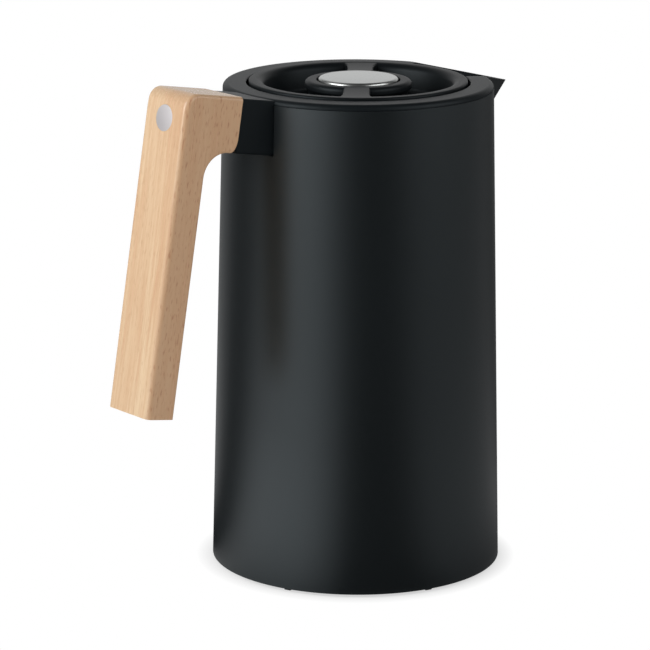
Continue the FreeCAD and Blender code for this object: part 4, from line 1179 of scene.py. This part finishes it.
class JUG_OT_stage(bpy.types.Operator):
    """Pale floor, soft studio light and the camera"""

    bl_idname = "jug.stage"
    bl_label = "Stage"

    def execute(self, context):
        scene, studio = context.scene, context.scene.jug_studio
        scene.view_settings.view_transform = "Standard"
        self.floor(paper(scene.jug_finish, self.sides(studio, FLOOR_SIDES), studio.dim_floor))
        self.world(scene, studio)
        for name, placing in PANELS.items():
            self.panel(f"{name}_panel", studio, *placing, getattr(studio, name))
        self.camera(scene, studio, scene.jug_body.foot)
        return {"FINISHED"}

    @staticmethod
    def toward(studio, swing):
        """The level direction from the axis to the camera, swung by degrees to the camera's left."""
        facing = Vector((-math.sin(studio.turn), -math.cos(studio.turn), 0))
        return Matrix.Rotation(math.radians(-swing), 3, "Z") @ facing

    def sides(self, studio, table):
        """Bright sides with their directions worked out."""
        return [(self.toward(studio, swing), *rest) for swing, *rest in table]

    @staticmethod
    def floor(material):
        """A wide disc under the jug, of a few rings."""
        around = np.linspace(0, FULL_TURN, FLOOR_STEPS, endpoint=False)
        points = ring_points(np.array(FLOOR_RINGS)[:, None], around, np.zeros((len(FLOOR_RINGS), 1)))
        mesh = bpy.data.meshes.new("floor")
        mesh.from_pydata(points.tolist(), [], grid_faces(len(FLOOR_RINGS), FLOOR_STEPS, False, True).tolist())
        mesh.materials.append(material)
        floor = bpy.data.objects.new("floor", mesh)
        bpy.context.scene.collection.objects.link(floor)

    def world(self, scene, studio):
        """Soft light from all round, behind it the white that the camera and reflections see."""
        scene.world = bpy.data.worlds.new("studio")
        scene.world.use_nodes = True
        made = Nodes(scene.world.node_tree)
        direction = made.node("TexCoord", {}, "Generated")
        rays, white = made.background(direction, self.sides(studio, STUDIO_SIDES), studio.dim)
        back = made.nodes["Background"].inputs
        back["Color"].default_value = (1, 1, 1, 1)
        made.feed(back["Strength"], made.mix(rays, studio.ambient, white))

    def panel(self, name, studio, swing, height, distance, sides, power):
        """A soft panel at an angle from the camera's direction, in degrees to its left, aimed at the jug."""
        place = self.toward(studio, swing) * distance
        place.z = height
        lamp = bpy.data.lights.new(name, "AREA")
        lamp.shape = "RECTANGLE"
        lamp.size, lamp.size_y = sides
        lamp.energy = power
        made = bpy.data.objects.new(name, lamp)
        made.location = place
        made.rotation_euler = (PANEL_AIM - place).to_track_quat("-Z", "Y").to_euler()
        bpy.context.scene.collection.objects.link(made)

    @staticmethod
    def camera(scene, studio, foot):
        """The photograph's camera: turned, set back and raised, then pitched, yawed and rolled."""
        data = bpy.data.cameras.new("camera")
        data.sensor_width = 36
        data.lens = studio.lens
        data.clip_end = 30
        view = Matrix.Rotation(-studio.turn, 3, "Z")
        tilt = Matrix.Rotation(studio.yaw, 3, "Z") @ Matrix.Rotation(studio.pitch, 3, "X")
        tilt = tilt @ Matrix.Rotation(studio.roll, 3, "Y") @ Matrix.Rotation(math.pi / 2, 3, "X")
        place = view @ Vector((0, -studio.distance, studio.height + foot))
        made = bpy.data.objects.new("camera", data)
        made.matrix_world = Matrix.Translation(place) @ (view @ tilt).to_4x4()
        scene.collection.objects.link(made)
        scene.camera = made


class JUG_PT_panel(bpy.types.Panel):
    """Buttons for the jug's pieces, and the sizes and colours they use"""

    bl_label = "Insulated jug"
    bl_space_type = "VIEW_3D"
    bl_region_type = "UI"
    bl_category = "Jug"

    def draw(self, context):
        for operator in OPERATORS:
            self.layout.operator(operator.bl_idname)
        for name, group in GROUPS.items():
            column = self.layout.box().column()
            for key in group.__annotations__:
                column.prop(getattr(context.scene, name), key)


GROUPS = {
    "jug_body": JugBodySizes,
    "jug_handle": JugHandleSizes,
    "jug_lid": JugLidSizes,
    "jug_finish": JugFinish,
    "jug_studio": JugStudio,
}
OPERATORS = (
    JUG_OT_shell,
    JUG_OT_collar,
    JUG_OT_handle,
    JUG_OT_lid,
    JUG_OT_plunger,
    JUG_OT_spring,
    JUG_OT_flask,
    JUG_OT_hidden,
    JUG_OT_stage,
)
CLASSES = (*GROUPS.values(), *OPERATORS, JUG_PT_panel)


def register():
    for kind in CLASSES:
        bpy.utils.register_class(kind)
    for name, group in GROUPS.items():
        setattr(bpy.types.Scene, name, PointerProperty(type=group))


def unregister():
    for name in GROUPS:
        delattr(bpy.types.Scene, name)
    for kind in reversed(CLASSES):
        bpy.utils.unregister_class(kind)


def main():
    register()
    bpy.ops.jug.shell()
    bpy.ops.jug.collar()
    bpy.ops.jug.handle()
    bpy.ops.jug.lid()
    bpy.ops.jug.plunger()
    bpy.ops.jug.spring()
    bpy.ops.jug.flask()
    bpy.ops.jug.hidden()
    bpy.ops.jug.stage()
    bpy.context.view_layer.update()


if __name__ == "__main__":
    main()
